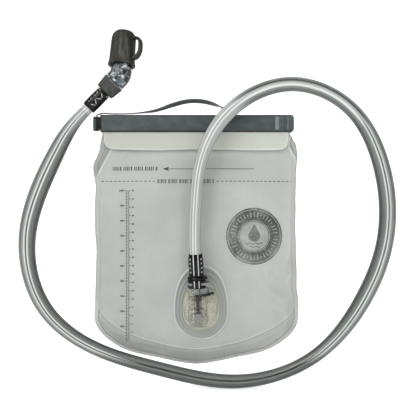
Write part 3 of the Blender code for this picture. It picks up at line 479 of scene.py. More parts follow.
class Nodes:
    """A short way to build the node tree of one material or of the world."""

    def __init__(self, name, world=False):
        self.owner = (bpy.data.worlds if world else bpy.data.materials).new(name)
        self.owner.use_nodes = True
        self.tree = self.owner.node_tree
        self.tree.nodes.clear()
        self.output = self.tree.nodes.new("ShaderNodeOutputWorld" if world else "ShaderNodeOutputMaterial")

    def fill(self, socket, value):
        """Links a socket to a signal, or sets it to a number, a vector or a colour."""
        if isinstance(value, Signal):
            self.tree.links.new(value.socket, socket)
        else:
            socket.default_value = (*value, 1.0) if socket.type == "RGBA" else value

    def add(self, kind, inputs=None, output=0, **settings):
        """Adds a node, fills its inputs and gives one of its outputs."""
        node = self.tree.nodes.new("ShaderNode" + kind)
        for key, value in settings.items():
            setattr(node, key, value)
        for key, value in (inputs or {}).items():
            self.fill(node.inputs[key], value)
        return Signal(self, node.outputs[output])

    def place(self):
        return self.add("TexCoord", output="Object")

    def parts(self, vector):
        """The X, Y and Z of a vector."""
        outputs = self.add("SeparateXYZ", {0: vector}).socket.node.outputs
        return [Signal(self, output) for output in outputs]

    def noise(self, scale, detail=3.0, stretch=(1, 1, 1)):
        place = self.add("Mapping", {"Vector": self.place(), "Scale": stretch})
        settings = {"Vector": place, "Scale": scale, "Detail": detail, "Roughness": 0.55}
        return self.add("TexNoise", settings, "Fac")

    def attribute(self, name):
        return self.add("Attribute", output="Fac", attribute_name=name)

    def facing(self):
        return self.add("LayerWeight", {"Blend": 0.5}, "Facing")

    def ramp(self, factor, stops, smooth=True):
        colour = self.add("ValToRGB", {"Fac": factor}, "Color")
        ramp = colour.socket.node.color_ramp
        ramp.interpolation = "EASE" if smooth else "LINEAR"
        while len(ramp.elements) < len(stops):
            ramp.elements.new(0.5)
        for element, (position, tone) in zip(ramp.elements, stops):
            element.position = position
            element.color = (*tone, 1.0)
        return colour

    def mix(self, factor, first, second, blend="MIX"):
        return self.add("Mix", {0: factor, 6: first, 7: second}, 2, data_type="RGBA", blend_type=blend)

    def tinted(self, tone, factor, tint):
        """The tone multiplied by a tint, as far as the factor says."""
        return self.mix(factor, tone, self.mix(1.0, tone, tint, "MULTIPLY"))

    def bump(self, height, strength):
        return self.add("Bump", {"Strength": strength, "Distance": 0.0002, "Height": height})

    def principled(self, colour, roughness, normal=None, **inputs):
        inputs = {key.replace("_", " "): value for key, value in inputs.items()}
        if normal:
            inputs["Normal"] = normal
        return self.add("BsdfPrincipled", {"Base Color": colour, "Roughness": roughness, **inputs})

    def transparent(self, colour):
        return self.add("BsdfTransparent", {"Color": colour})

    def mix_shader(self, factor, first, second):
        return self.add("MixShader", {0: factor, 1: first, 2: second})

    def done(self, shader):
        self.fill(self.output.inputs["Surface"], shader)
        return self.owner


# --- Tones ---------------------------------------------------------------------------------------
STUDIO_LIGHT, STUDIO_GLOSS = 1.75, 0.03


def srgb(*levels):
    """Linear colour from 0-255 display levels."""
    shares = [level / 255 for level in levels]
    return tuple(s / 12.92 if s <= 0.04045 else ((s + 0.055) / 1.055) ** 2.4 for s in shares)


def shown(*levels):
    """The base colour that an opaque surface needs to look like these levels in this light."""
    return tuple(max((value - STUDIO_GLOSS) / STUDIO_LIGHT, 0.002) for value in srgb(*levels))


def stripes(green, blue, *stops):
    """Ramp stops from (place, red level), with green and blue brighter by these levels."""
    return [(place, shown(red, min(red + green, 255), min(red + blue, 255))) for place, red in stops]


FILM_OPACITY, FLAP_OPACITY, SHOULDER_OPACITY = 0.62, 0.42, 0.84
FLAP_TONE, FILM_DARK, FILM_LIGHT = srgb(206, 208, 200), srgb(172, 174, 171), srgb(182, 184, 181)
FILM_WELD, FILM_LINE = srgb(214, 216, 213), srgb(104, 109, 107)
RIGHT_TINT, SHOULDER_TINT = (1.12, 1.12, 1.12), (0.55, 0.57, 0.56)
BAND_TINT_LEFT, BAND_TINT_RIGHT, BAND_TINT_STREAK = (0.84, 0.88, 0.86), (0.82, 0.84, 0.82), (1.08, 1.10, 1.08)
# Lines along the hose, painted highlights, reflections and shadow: share of the way from its outer or left
# side, and level there.
HOSE_PAINTED_LIGHT_FREE = stripes(
    6, 2, (0.00, 136), (0.06, 142), (0.11, 108), (0.15, 118), (0.20, 164), (0.27, 170), (0.30, 238),
    (0.33, 242), (0.36, 176), (0.40, 96), (0.43, 92), (0.46, 190), (0.48, 252), (0.52, 250), (0.55, 156),
    (0.61, 128), (0.72, 118), (0.80, 104), (0.86, 74), (0.92, 46), (0.96, 42), (1.00, 80))
HOSE_PAINTED_LIGHT_LOW = stripes(
    6, 2, (0.00, 96), (0.08, 62), (0.15, 76), (0.25, 96), (0.34, 104), (0.40, 146), (0.44, 96), (0.48, 60),
    (0.54, 58), (0.59, 92), (0.64, 138), (0.72, 132), (0.80, 118), (0.90, 98), (1.00, 112))
HOSE_PAINTED_LIGHT_TOP = stripes(
    6, 2, (0.00, 170), (0.07, 156), (0.14, 130), (0.19, 72), (0.23, 74), (0.28, 156), (0.36, 198),
    (0.43, 216), (0.49, 255), (0.57, 250), (0.61, 160), (0.70, 138), (0.80, 108), (0.92, 118), (1.00, 150))
HOSE_PAINTED_LIGHT_OVER = stripes(
    4, 1, (0.00, 194), (0.10, 226), (0.18, 192), (0.26, 196), (0.30, 255), (0.35, 255), (0.39, 202),
    (0.46, 186), (0.50, 212), (0.53, 255), (0.58, 255), (0.63, 206), (0.75, 200), (0.88, 210), (1.00, 192))
# Near white inside the boots: painted light that shows through the boots' slots.
HOSE_IN_BOOT_PAINTED_LIGHT = shown(246, 248, 247)
# Where the look changes to that of the low and the top stretch, in metres.
HOSE_LOW_Z, HOSE_TOP_Z, HOSE_TOP_X = (-0.086, -0.100), (0.095, 0.112), (0.0, 0.02)
# Painted highlights on the bar: where each starts and ends in millimetres, and its strength.
BAR_GLINTS, BAR_GLINT_TONE = ((67.6, 69.2, 0.85), (77.6, 78.4, 0.35)), shown(150, 159, 160)
# The bar's edge tone is painted shade along its long edges.
BAR_LEFT_TONE, BAR_RIGHT_TONE, BAR_EDGE_TONE = shown(92, 101, 102), shown(83, 94, 97), shown(34, 40, 44)
BELL_TINT = (0.985, 0.982, 0.95)
BELL_CREAM_DARK, BELL_CREAM_LIGHT = shown(204, 203, 182), shown(234, 232, 214)
GLINT_PLACES = (-1.9, 2.0)
PLATE_PLAIN, PLATE_REACH = shown(192, 196, 190), 24.0
# Where the painted shade of the plate's rings shows most: towards the left and upwards, in metres.
PLATE_LEFTWARD, PLATE_UPWARD = (0.022, -0.004), (-0.077, -0.062)
# Radius in millimetres on the plate's lower half, and the look there: at its sides and at its bottom.
# The darker rings in this list are painted shade where the plate steps.
PLATE_RINGS = [
    (14.5, shown(232, 232, 216)), (15.2, shown(206, 208, 198)), (15.8, shown(134, 143, 145)),
    (16.5, shown(188, 193, 187)), (17.6, PLATE_PLAIN), (18.2, shown(138, 147, 148)),
    (18.9, shown(188, 193, 186)), (20.2, shown(190, 194, 188)), (20.8, shown(146, 155, 155)),
    (21.4, shown(190, 194, 188)), (21.9, shown(196, 200, 194)), (22.3, shown(252, 253, 250)),
]
PLATE_LOWER = [
    (14.5, shown(232, 232, 216)), (15.4, shown(214, 215, 204)), (16.4, PLATE_PLAIN),
    (21.8, PLATE_PLAIN), (22.3, shown(252, 253, 250)),
]


# --- Materials -----------------------------------------------------------------------------------
def film_material():
    """Frosted film: mostly milky, a little see-through, with weld lines and a folded bottom."""
    n = Nodes("film")
    edge, gusset = n.attribute("edge_mm"), n.attribute("gusset_mm")
    shoulder, flap = n.attribute("shoulder_mm"), n.attribute("flap")
    cloudy, fine = n.noise(22.0, 4.0), n.noise(900.0, 2.0)
    x, _, z = n.parts(n.place())
    tone = n.ramp(cloudy, [(0.3, FILM_DARK), (0.7, FILM_LIGHT)])

    streak_place = n.add("CombineXYZ", {0: x * 9.0, 1: (edge + gusset) * 0.45})
    streak = n.add("TexNoise", {"Scale": 1.6, "Detail": 5.0, "Vector": streak_place}, "Fac").span(0.38, 0.64)
    band_tint = n.mix(x.span(0.02, 0.065), BAND_TINT_LEFT, BAND_TINT_RIGHT)
    band_tint = n.mix(streak * 0.55, band_tint, BAND_TINT_STREAK)
    band = gusset.span(0.5, -0.5)
    tone = n.tinted(tone, band, band_tint)

    tone = n.mix(flap * 0.8, tone, FLAP_TONE)
    hem = flap * z.span(FLAP_BOTTOM_Z + 1.3 * MM, FLAP_BOTTOM_Z + 0.8 * MM)
    tone = n.mix(hem, tone, FILM_WELD)
    tone = n.tinted(tone, x.span(0.0, 0.07), RIGHT_TINT)
    past = shoulder.span(0.0, 1.2) * (1.0 - flap)
    tone = n.tinted(tone, past, SHOULDER_TINT)
    tone = n.mix(shoulder.band(-1.0, -0.2, 0.1, 0.9) * 0.8, tone, FILM_WELD)

    weld_line, low_weld = edge.band(3.3, 3.8, 4.3, 4.8), gusset.span(3.0, -1.0, 0.14, 0.4)
    tone = n.mix(edge.span(3.6, 3.0) * low_weld, tone, FILM_WELD)
    tone = n.mix(weld_line * low_weld, tone, FILM_LINE)
    tone = n.mix(edge.span(0.9, 0.3) * 0.45, tone, FILM_LINE)
    arc = gusset.band(-0.1, 0.3, 0.6, 1.0)
    tone = n.mix(arc * 0.4, tone, FILM_LINE)
    tone = n.mix(gusset.band(0.8, 1.2, 1.5, 2.0) * 0.55, tone, FILM_WELD)

    relief = fine * 0.25 + cloudy - weld_line - arc * 1.5 + band * streak * 0.8
    body = n.principled(tone, cloudy.span(0.3, 0.7, 0.38, 0.5), n.bump(relief, 0.35),
                        Specular_IOR_Level=0.4, Sheen_Weight=0.1)
    opacity = FILM_OPACITY - flap * (FILM_OPACITY - FLAP_OPACITY) + past * (SHOULDER_OPACITY - FILM_OPACITY)
    return n.done(n.mix_shader(opacity, n.transparent((0.95, 0.955, 0.945)), body))


def beside_port(n):
    """Distance to the right of the port's axis."""
    x, _, z = n.parts(n.place())
    return x - PORT_ORIGIN.x - (z - PORT_ORIGIN.z) * (PORT_AXIS.x / PORT_AXIS.z)


def bell_material():
    """Clear plastic that bends what lies behind it and lets light in. It is creamy beside the
    socket tube and polished over it."""
    n = Nodes("clear_plastic")
    shadow_ray = n.add("LightPath", output="Is Shadow Ray")
    light_ray = shadow_ray.math("MAXIMUM", n.add("LightPath", output="Is Diffuse Ray"))
    uneven = n.noise(170.0)
    glass = {"Color": BELL_TINT, "IOR": 1.45, "Roughness": 0.0, "Normal": n.bump(uneven, 0.03)}
    cream = n.principled(n.ramp(uneven, [(0.35, BELL_CREAM_DARK), (0.62, BELL_CREAM_LIGHT)]), 0.2)
    haze = beside_port(n).math("ABSOLUTE").span(*mm(5.6, 8.4), 0.03, 0.42)
    bending = n.facing().span(0.05, 0.5, 0.22, 1.0)
    clear = n.mix_shader(bending, n.transparent(BELL_TINT), n.add("BsdfGlass", glass))
    body = n.mix_shader(haze, clear, cream)
    return n.done(n.mix_shader(light_ray, body, n.transparent(tuple(c**0.5 for c in BELL_TINT))))


def port_black_material():
    """Glossy black plastic with the two upright glints that long lamps leave on round parts."""
    n = Nodes("port_black")
    aside = beside_port(n)
    left, right = [aside.band(*mm(x - 0.45, x - 0.25, x + 0.25, x + 0.45)) for x in GLINT_PLACES]
    front = n.parts(n.add("NewGeometry", output="Normal"))[1].span(-0.6, -0.85)
    tone = n.ramp(n.noise(300.0), [(0.35, shown(12, 13, 15)), (0.65, shown(44, 47, 51))])
    tone = n.mix(left.math("MAXIMUM", right) * front, tone, shown(236, 238, 238))
    return n.done(n.principled(tone, 0.18, n.bump(n.noise(500.0), 0.05), Specular_IOR_Level=0.22))


def collar_material():
    """Grey collar plastic, darkened by painted shade in the grooves between its ribs and towards its edges.
    """
    n = Nodes("collar_plastic")
    tone = n.ramp(n.noise(300.0), [(0.35, shown(96, 101, 95)), (0.65, shown(122, 127, 121))])
    # Painted shade towards the edges, then in the grooves between the ribs.
    tone = n.mix(n.facing() ** 1.3, tone, shown(16, 18, 17))
    tone = n.mix(n.attribute("groove"), tone, shown(34, 37, 35))
    return n.done(n.principled(tone, 0.45, n.bump(n.noise(900.0), 0.1), Specular_IOR_Level=0.3))


def smoky_material():
    """Smoky clear bend: painted shade where it turns away, with pale painted glints that stand for
    reflections of its moulded inside.
    """
    n = Nodes("smoky_clear_plastic")
    # Cloudy dark to mid grey tone, with pale patches that are painted glints.
    tone = n.ramp(n.noise(150.0, 3.0, (1.0, 1.0, 1.5)), [
        (0.38, shown(44, 53, 60)), (0.48, shown(96, 107, 113)), (0.55, shown(138, 147, 151)),
        (0.60, shown(250, 252, 252)),
    ])
    # Painted shade where the bend turns away.
    tone = n.mix(n.facing().span(0.14, 0.56), tone, shown(22, 28, 34))
    body = n.principled(tone, 0.08, n.bump(n.noise(260.0, 2.0), 0.12), Specular_IOR_Level=0.4)
    return n.done(n.mix_shader(0.9, n.transparent((0.9, 0.92, 0.93)), body))


def clear_material(name, tint, edge_tint, roughness):
    """Clear plastic seen as a tinted veil that thickens where it turns away, and darkens there with painted
    shade.
    """
    n = Nodes(name)
    turning = n.facing() ** 2.0
    # Painted shade: the edge tint darkens it where it turns away.
    colour = n.mix(n.noise(130.0) * 0.12, n.mix(turning, tint, edge_tint), edge_tint)
    normal = n.bump(n.noise(260.0, 2.0), 0.12)
    body = n.principled(colour, roughness, normal, Specular_IOR_Level=0.6, Coat_Weight=0.3)
    veil = (turning * 0.1).math("ADD", 0.8, clamp=True)
    return n.done(n.mix_shader(veil, n.transparent((0.97, 0.97, 0.96)), body))


def hose_material():
    """Clear tube: bright and dark lines run along it as painted highlights, reflections and shadow.
    They differ along the loop, over the reservoir and inside the boots."""
    n = Nodes("hose_clear")
    across, cover = (n.attribute("across") + 1.0) * 0.5, n.attribute("cover")
    across = across.math("ADD", (n.noise(16.0, 2.0) - 0.5) * 0.08, clamp=True)
    x, _, z = n.parts(n.place())
    colour = n.ramp(across, HOSE_PAINTED_LIGHT_FREE, smooth=False)
    for factor, look in (
        (z.span(*HOSE_LOW_Z), HOSE_PAINTED_LIGHT_LOW),
        (z.span(*HOSE_TOP_Z) * x.span(*HOSE_TOP_X), HOSE_PAINTED_LIGHT_TOP),
        (cover.span(0.0, 1.0), HOSE_PAINTED_LIGHT_OVER),
    ):
        colour = n.mix(factor, colour, n.ramp(across, look, smooth=False))
    # Painted light where the boots' slots show the hose.
    colour = n.mix(cover.span(1.0, 2.0), colour, HOSE_IN_BOOT_PAINTED_LIGHT)
    body = n.principled(colour, 0.10, n.bump(n.noise(90.0, 2.0), 0.06), Specular_IOR_Level=0.3)
    veil = (1.0 - n.add("NewGeometry", output="Backfacing") * 0.6) * 0.94
    return n.done(n.mix_shader(veil, n.transparent((0.97, 0.98, 0.975)), body))


def bore_material():
    """Inner wall of the hose: nearly invisible except where it turns away."""
    n = Nodes("hose_bore")
    body = n.principled(n.ramp(n.noise(60.0), [(0.3, srgb(120, 126, 126)), (0.7, srgb(165, 170, 168))]), 0.15)
    return n.done(n.mix_shader(n.facing() ** 3.0 * 0.35, n.transparent((0.99, 0.99, 0.99)), body))


def solid_material(name, dark, light, roughness, grain=500.0, relief=0.15, edge=None, edge_power=1.0,
                   stretch=(1, 1, 1), **inputs):
    """Opaque plastic or rubber with cloudy tone, fine grain and, if asked, shaded edges."""
    n = Nodes(name)
    cloudy, fine = n.noise(60.0, 4.0, stretch), n.noise(grain, 3.0, stretch)
    tone = n.ramp(cloudy * 0.7 + fine * 0.3, [(0.35, dark), (0.65, light)])
    if edge:
        tone = n.mix(n.facing() ** edge_power, tone, edge)
    return n.done(n.principled(tone, fine.span(0.3, 0.7, *roughness), n.bump(fine, relief), **inputs))


def bar_material():
    """Grey bar plastic: mottled, darker towards the right, with painted shade as dark lines along its long
    edges and painted highlights on its ridges.
    """
    n = Nodes("bar_plastic")
    x, _, z = n.parts(n.place())
    tone = n.mix(x.span(-0.07, 0.05), BAR_LEFT_TONE, BAR_RIGHT_TONE)
    mottle = n.ramp(n.noise(95.0, 4.0, (1.0, 1.0, 1.6)), [(0.36, (0.80,) * 3), (0.66, (1.14,) * 3)])
    tone = n.mix(1.0, tone, mottle, "MULTIPLY")
    # Painted shade: dark lines along the top and bottom edges; the same dark tone also covers the left end.
    at_bottom = z.span(*mm(BAR_BOTTOM_Z + 1.5, BAR_BOTTOM_Z + 0.7))
    at_top = z.span(*mm(BAR_TOP_Z - 1.2, BAR_TOP_Z - 0.5))
    at_left = x.span(*mm(BAR_LEFT_X + 1.5, BAR_LEFT_X + 0.6))
    rim = at_left.math("MAXIMUM", at_bottom.math("MAXIMUM", at_top))
    tone = n.mix(rim, tone, BAR_EDGE_TONE)
    # Painted highlights on the ridges, kept between the top and bottom edges.
    inside = z.band(*mm(BAR_BOTTOM_Z + 1.2, BAR_BOTTOM_Z + 2.6, BAR_TOP_Z - 2.4, BAR_TOP_Z - 1.0))
    for low, high, strength in BAR_GLINTS:
        glint = x.band(*mm(low - 1.2, low, high, high + 2.4))
        tone = n.mix(glint * inside * strength, tone, BAR_GLINT_TONE)
    return n.done(n.principled(tone, 0.36, n.bump(n.noise(1400.0), 0.1), Specular_IOR_Level=0.4))


def toggle_material():
    """Black plastic that catches grey light along its outer side."""
    n = Nodes("leash_toggle")
    outer = n.parts(n.place())[0].band(*mm(-86.6, -86.2, -84.6, -84.2))
    tone = n.ramp(n.noise(300.0), [(0.35, shown(12, 13, 15)), (0.65, shown(34, 37, 40))])
    tone = n.mix(outer * 0.8, tone, BAR_LEFT_TONE)
    return n.done(n.principled(tone, 0.3, n.bump(n.noise(600.0), 0.1), Specular_IOR_Level=0.25))


def plate_material():
    """Film of the welded port plate, with painted shade as darker rings where it steps, and a light rim."""
    n = Nodes("welded_plate")
    reach = n.attribute("ring_mm").math("DIVIDE", PLATE_REACH)
    x, _, z = n.parts(n.place())
    rings, plain = [n.ramp(reach, [(r / PLATE_REACH, colour) for r, colour in look], smooth=False)
                    for look in (PLATE_RINGS, PLATE_LOWER)]
    # Painted shade in the dark rings, strongest towards the left and upwards.
    tone = n.mix(x.span(*PLATE_LEFTWARD, 0.55, 1.0) * z.span(*PLATE_UPWARD), plain, rings)
    tone = n.mix(n.noise(120.0) * 0.2, tone, PLATE_PLAIN)
    body = n.principled(tone, 0.25, n.bump(n.noise(300.0), 0.08), Specular_IOR_Level=0.35)
    return n.done(n.mix_shader(0.86, n.transparent((0.96, 0.96, 0.95)), body))


def ink_material():
    """Printed ink with slight mottling."""
    n = Nodes("ink")
    colour = shown(30, 33, 34)
    faded = tuple(1.25 * c + 0.015 for c in colour)
    tone = n.ramp(n.noise(420.0, 4.0), [(0.35, colour), (0.75, faded)])
    return n.done(n.principled(tone, 0.45, n.bump(n.noise(1500.0), 0.1)))


FILM_SURFACE, HOSE_SURFACE, BORE_SURFACE = film_material(), hose_material(), bore_material()
STIFFENER = solid_material("stiffener", shown(240, 239, 228), shown(247, 246, 236), (0.45, 0.6))
BLACK = solid_material("black_plastic", shown(10, 11, 13), shown(44, 46, 50), (0.14, 0.22), relief=0.05,
                       Specular_IOR_Level=0.22)
RUBBER = solid_material("rubber", shown(14, 14, 15), shown(46, 46, 48), (0.5, 0.65))
STEEL = solid_material("spring_steel", srgb(150, 150, 152), srgb(190, 190, 192), (0.2, 0.3), Metallic=1.0)
CAP_PLASTIC = solid_material("cap_plastic", shown(62, 63, 57), shown(112, 113, 104), (0.5, 0.62),
                             grain=420.0, relief=0.3, edge=shown(6, 7, 6), stretch=(5, 5, 0.6),
                             edge_power=0.75, Specular_IOR_Level=0.25)
COLLAR_PLASTIC, CLEAR, SMOKY = collar_material(), bell_material(), smoky_material()
PORT_BLACK, BAR_PLASTIC = port_black_material(), bar_material()
TOGGLE, PLATE = toggle_material(), plate_material()
FROSTED = clear_material("frosted_plastic", srgb(104, 112, 116), srgb(38, 44, 48), 0.4)
SILICONE = clear_material("silicone", srgb(190, 193, 194), srgb(120, 124, 126), 0.35)
LATCH_SURFACE = solid_material("latch_plastic", shown(100, 106, 108), shown(162, 167, 167), (0.3, 0.4))
LEASH_SURFACE = solid_material("leash_film", shown(88, 93, 94), shown(122, 127, 127), (0.3, 0.4))
INK = ink_material()
BADGE_DARK = solid_material("badge_dark", shown(76, 78, 75), shown(150, 152, 145), (0.4, 0.5), grain=420.0)
BADGE_LIGHT = solid_material("badge_light", shown(168, 171, 168), shown(196, 199, 195), (0.4, 0.5),
                             grain=700.0)


# --- Reservoir film --------------------------------------------------------------------------------
def half_width(share, z):
    """Distance from the middle to the side weld on the share's own side."""
    knots = LEFT_SIDE if share < 0 else RIGHT_SIDE
    for (low, wide), (high, next_wide) in zip(knots, knots[1:]):
        if z <= high * MM or high == knots[-1][0]:
            climb = ease((z - low * MM) / ((high - low) * MM))
            waver = 0.12 * math.sin(z / (4.1 * MM) + share)
            return (wide + (next_wide - wide) * climb + waver) * MM


def bottom_edge(share):
    """Height of the bottom weld at a share, -1 to 1, of the half width."""
    outward = ease((abs(share) - 0.33) / 0.42)
    power = BOTTOM_POWER_MIDDLE + (BOTTOM_POWER_SIDE - BOTTOM_POWER_MIDDLE) * outward
    reach = max(1.0 - abs(share) ** power, 0.0)
    return BOTTOM_CORNER_Z - BOTTOM_DROP * math.sqrt(reach)


def seam_half(share, z):
    """Half the distance between the panels along the welds: wider at the bottom weld."""
    above_gusset = (z - bottom_edge(share) - GUSSET_RISE) / SEAM_NARROWING
    return SEAM_HALF_BOTTOM - SEAM_HALF_LESS * ease(above_gusset)


def flange_reach(x, z):
    """0 at the centre of the port's plate and 1 at its rim."""
    height = FLANGE_RADIUS if z < FLANGE_CENTRE.z else FLANGE_PEAK
    return math.hypot((x - FLANGE_CENTRE.x) / FLANGE_RADIUS, (z - FLANGE_CENTRE.z) / height)


def front_film_y(share, z):
    """Depth of the front film: a soft bulge with a flat place for the port's plate."""
    distance = z - bottom_edge(share)
    side = (1.0 - abs(share) ** 3) ** 0.8
    top = 1.0 - ease((z - BULGE_TOP_Z) / BULGE_FADE)
    left = 1.0 - min(distance / BULGE_RISE, 1.0)
    bulge = side * math.sqrt(1.0 - left * left) * top
    reach = flange_reach(share * half_width(share, z), z)
    flat = 1.0 - ease((reach - PORT_FLAT_REACH) / PORT_FLAT_FADE)
    bulge += (1.0 - bulge) * flat
    seam = seam_half(share, z)
    return SEAM_Y - seam - (FRONT_BULGE + FRONT_SLACK - seam) * bulge


def back_film_y(share, z):
    """Depth of the back film, which lies flat away from the welds."""
    distance = z - bottom_edge(share)
    side = 1.0 - ease((abs(share) - BACK_SIDE_SHARE) / (1.0 - BACK_SIDE_SHARE))
    low = ease(distance / BACK_RISE)
    top = 1.0 - ease((z - BACK_TOP_Z) / BACK_FADE)
    lift = SEAM_Y + seam_half(share, z)
    return lift + (BACK_FLAT_Y - lift) * side * low * top


def panel_rows(depth, fold_y, fold_radius):
    """Rows of one panel: up the body, over the mouth fold and down inside the flap."""
    turns = [math.pi * (i / FILM_COLUMNS - 0.5) for i in range(FILM_COLUMNS + 1)]
    shares = [0.45 * 2.0 * t / math.pi + 0.55 * math.sin(t) for t in turns]
    rows = []
    for i in range(BODY_ROWS + 1):
        row = []
        for share in shares:
            low = bottom_edge(share)
            z = low + (NECK_Z - low) * (i / BODY_ROWS)
            row.append(Vector((share * half_width(share, z), depth(share, z), z)))
        rows.append(row)
    for rise in (2.0, 4.0, 6.0, 8.0):
        rows.append([Vector((s * NECK_HALF_WIDTH, fold_y + fold_radius, NECK_Z + rise * MM)) for s in shares])
    for i in range(FOLD_STEPS + 1):
        turn = math.pi * i / FOLD_STEPS
        y, z = fold_y + fold_radius * math.cos(turn), FOLD_TOP_Z + fold_radius * math.sin(turn)
        rows.append([Vector((share * NECK_HALF_WIDTH * FOLD_NARROWING, y, z)) for share in shares])
    for i in range(1, FOLD_STEPS + 1):
        down = i / FOLD_STEPS
        z = FOLD_TOP_Z + (FLAP_BOTTOM_Z - FOLD_TOP_Z) * down
        round_in = max(FLAP_CORNER - (z - FLAP_BOTTOM_Z), 0.0)
        corner = FLAP_CORNER - math.sqrt(max(FLAP_CORNER**2 - round_in**2, 0.0))
        wide = NECK_HALF_WIDTH * (FOLD_NARROWING - FLAP_NARROWING * down) - corner
        ripple = 0.15 * MM * down
        rows.append([Vector((share * wide, fold_y - fold_radius - ripple * math.sin(23.0 * share),
                             z + 0.5 * MM * down * math.sin(5.0 * share + 1.0))) for share in shares])
    return rows


def outline_points():
    """The reservoir's welded outline, from the neck down one side, round and up the other."""
    points = []
    for side in (1.0, -1.0):
        for z in np.linspace(NECK_Z + NECK_WELD_RISE, BOTTOM_CORNER_Z, OUTLINE_STEPS):
            points.append((side * half_width(side, z), z))
        for share in np.linspace(side, 0.0, OUTLINE_STEPS):
            points.append((share * half_width(share, bottom_edge(share)), bottom_edge(share)))
    return np.array(points)


def past_shoulder(flat):
    """How far each point lies outside the crease that runs down from each end of the flap."""
    found = np.full(len(flat), -FAR)
    for line in SHOULDER_CREASES:
        for start, end in zip(np.array(line), np.array(line)[1:]):
            length = np.linalg.norm(end - start)
            run = (end - start) / length
            outward = np.array([run[1], -run[0]])
            outward *= math.copysign(1.0, outward[0] * start[0])
            along = (flat - start) @ run
            beside = (along > -0.2) & (along < length + 0.2) & (np.sign(flat[:, 0]) == np.sign(start[0]))
            found = np.where(beside, np.maximum(found, (flat - start) @ outward), found)
    return found


def film_grid(name, rows):
    """A single sheet through the rows, carrying its distance to the weld and to the gusset."""
    made = add_object(name, sheet(rows), FILM_SURFACE, sharp_angle=80.0)
    places, outline = point_places(made), outline_points()
    gaps = np.hypot(places[:, None, 0] - outline[None, :, 0], places[:, None, 2] - outline[None, :, 1])
    folded = np.arange(len(places)) >= (BODY_ROWS + 1) * (FILM_COLUMNS + 1)
    shares = np.abs(places[:, 0] / (BAND_HALF_WIDTH * MM))
    arc = BAND_END_Z - BAND_DROP * np.sqrt(np.maximum(1.0 - shares**BAND_POWER, 0.0))
    add_values(made, edge_mm=np.where(folded, FAR, gaps.min(axis=1) / MM),
               gusset_mm=np.where(folded, FAR, places[:, 2] / MM - arc),
               shoulder_mm=np.where(folded, -FAR, past_shoulder(places[:, [0, 2]] / MM)), flap=folded)
    return made


def wrinkle(obj, hold, growth, most=1.1 * MM, frames=16):
    """Grows the sheet a little as cloth, so that it wrinkles between its welds. Each point's
    movement is capped, and the finished shape is written back to the mesh."""
    start = point_places(obj)
    group = obj.vertex_groups.new(name="held")
    for index, weight in enumerate(hold):
        group.add([index], float(weight), "REPLACE")
    cloth = obj.modifiers.new("film", "CLOTH")
    settings = {
        "quality": 6, "mass": 0.02, "tension_stiffness": 25.0, "compression_stiffness": 25.0,
        "shear_stiffness": 8.0, "bending_stiffness": 0.35, "vertex_group_mass": "held",
        "pin_stiffness": 1.2, "shrink_min": -growth,
    }
    for key, value in settings.items():
        setattr(cloth.settings, key, value)
    cloth.settings.effector_weights.gravity = 0.0
    cloth.collision_settings.use_collision = False
    cloth.point_cache.frame_start = 1
    cloth.point_cache.frame_end = frames
    stage = bpy.context.scene
    for step in range(1, frames + 1):
        stage.frame_set(step)
    moved = point_places(obj.evaluated_get(bpy.context.evaluated_depsgraph_get()))
    obj.modifiers.clear()
    stage.frame_set(1)
    shift = moved - start
    length = np.linalg.norm(shift, axis=1, keepdims=True)
    shift *= np.tanh(length / most) * most / np.maximum(length, 1e-9)
    move_points(obj, start + shift)
    obj.vertex_groups.clear()


def add_creases(obj):
    """Presses the long creases into the body of the front film."""
    places = point_places(obj)
    flat = places[:, [0, 2]] / MM
    lift = np.zeros(len(places))
    for start, end, width, height in CREASES:
        start, end = np.array(start), np.array(end)
        run = end - start
        along = np.clip((flat - start) @ run / (run @ run), 0.0, 1.0)
        gap = np.linalg.norm(flat - start - along[:, None] * run, axis=1)
        lift += height * np.exp(-((gap / width) ** 2)) * np.sin(np.pi * (0.1 + 0.8 * along))
    body = np.arange(len(places)) < (BODY_ROWS + 1) * (FILM_COLUMNS + 1)
    places[:, 1] -= np.where(body, lift * MM, 0.0)
    move_points(obj, places)


def hold_weights(obj, with_port):
    """1 where the film is welded, clamped or folded, and a light hold everywhere else."""
    places = point_places(obj)
    edge = np.zeros(len(places), np.float32)
    obj.data.attributes["edge_mm"].data.foreach_get("value", edge)
    hold = np.where(edge < 4.0, 1.0, 0.05)
    hold = np.where(places[:, 2] > HELD_ABOVE_Z, 1.0, hold)
    if with_port:
        reach = np.array([flange_reach(x, z) for x, _, z in places])
        hold = np.where(reach < PORT_HELD_REACH, 1.0, hold)
    return hold


def make_front_panel():
    front = film_grid("film_front", panel_rows(front_film_y, FRONT_FOLD_Y, FRONT_FOLD_RADIUS))
    wrinkle(front, hold_weights(front, True), 0.010)
    add_creases(front)
    tree = BVHTree.FromObject(front, bpy.context.evaluated_depsgraph_get())
    thicken(front, FILM)
    place = Matrix.Translation((PORT_ORIGIN.x, FLANGE_CENTRE.y, PORT_ORIGIN.z))
    hole = loft([circle(8.0 * MM, h, 48) for h in mm(-6, 6)])
    combine(front, hole, place @ Matrix.Rotation(math.radians(90), 4, "X"))
    keep(front, "reservoir", "film", "front_panel")
    return tree


def make_back_panel():
    back = film_grid("film_back", panel_rows(back_film_y, BACK_FOLD_Y, BACK_FOLD_RADIUS))
    wrinkle(back, hold_weights(back, False), 0.008, most=0.5 * MM)
    thicken(back, FILM)
    keep(back, "reservoir", "film", "back_panel")


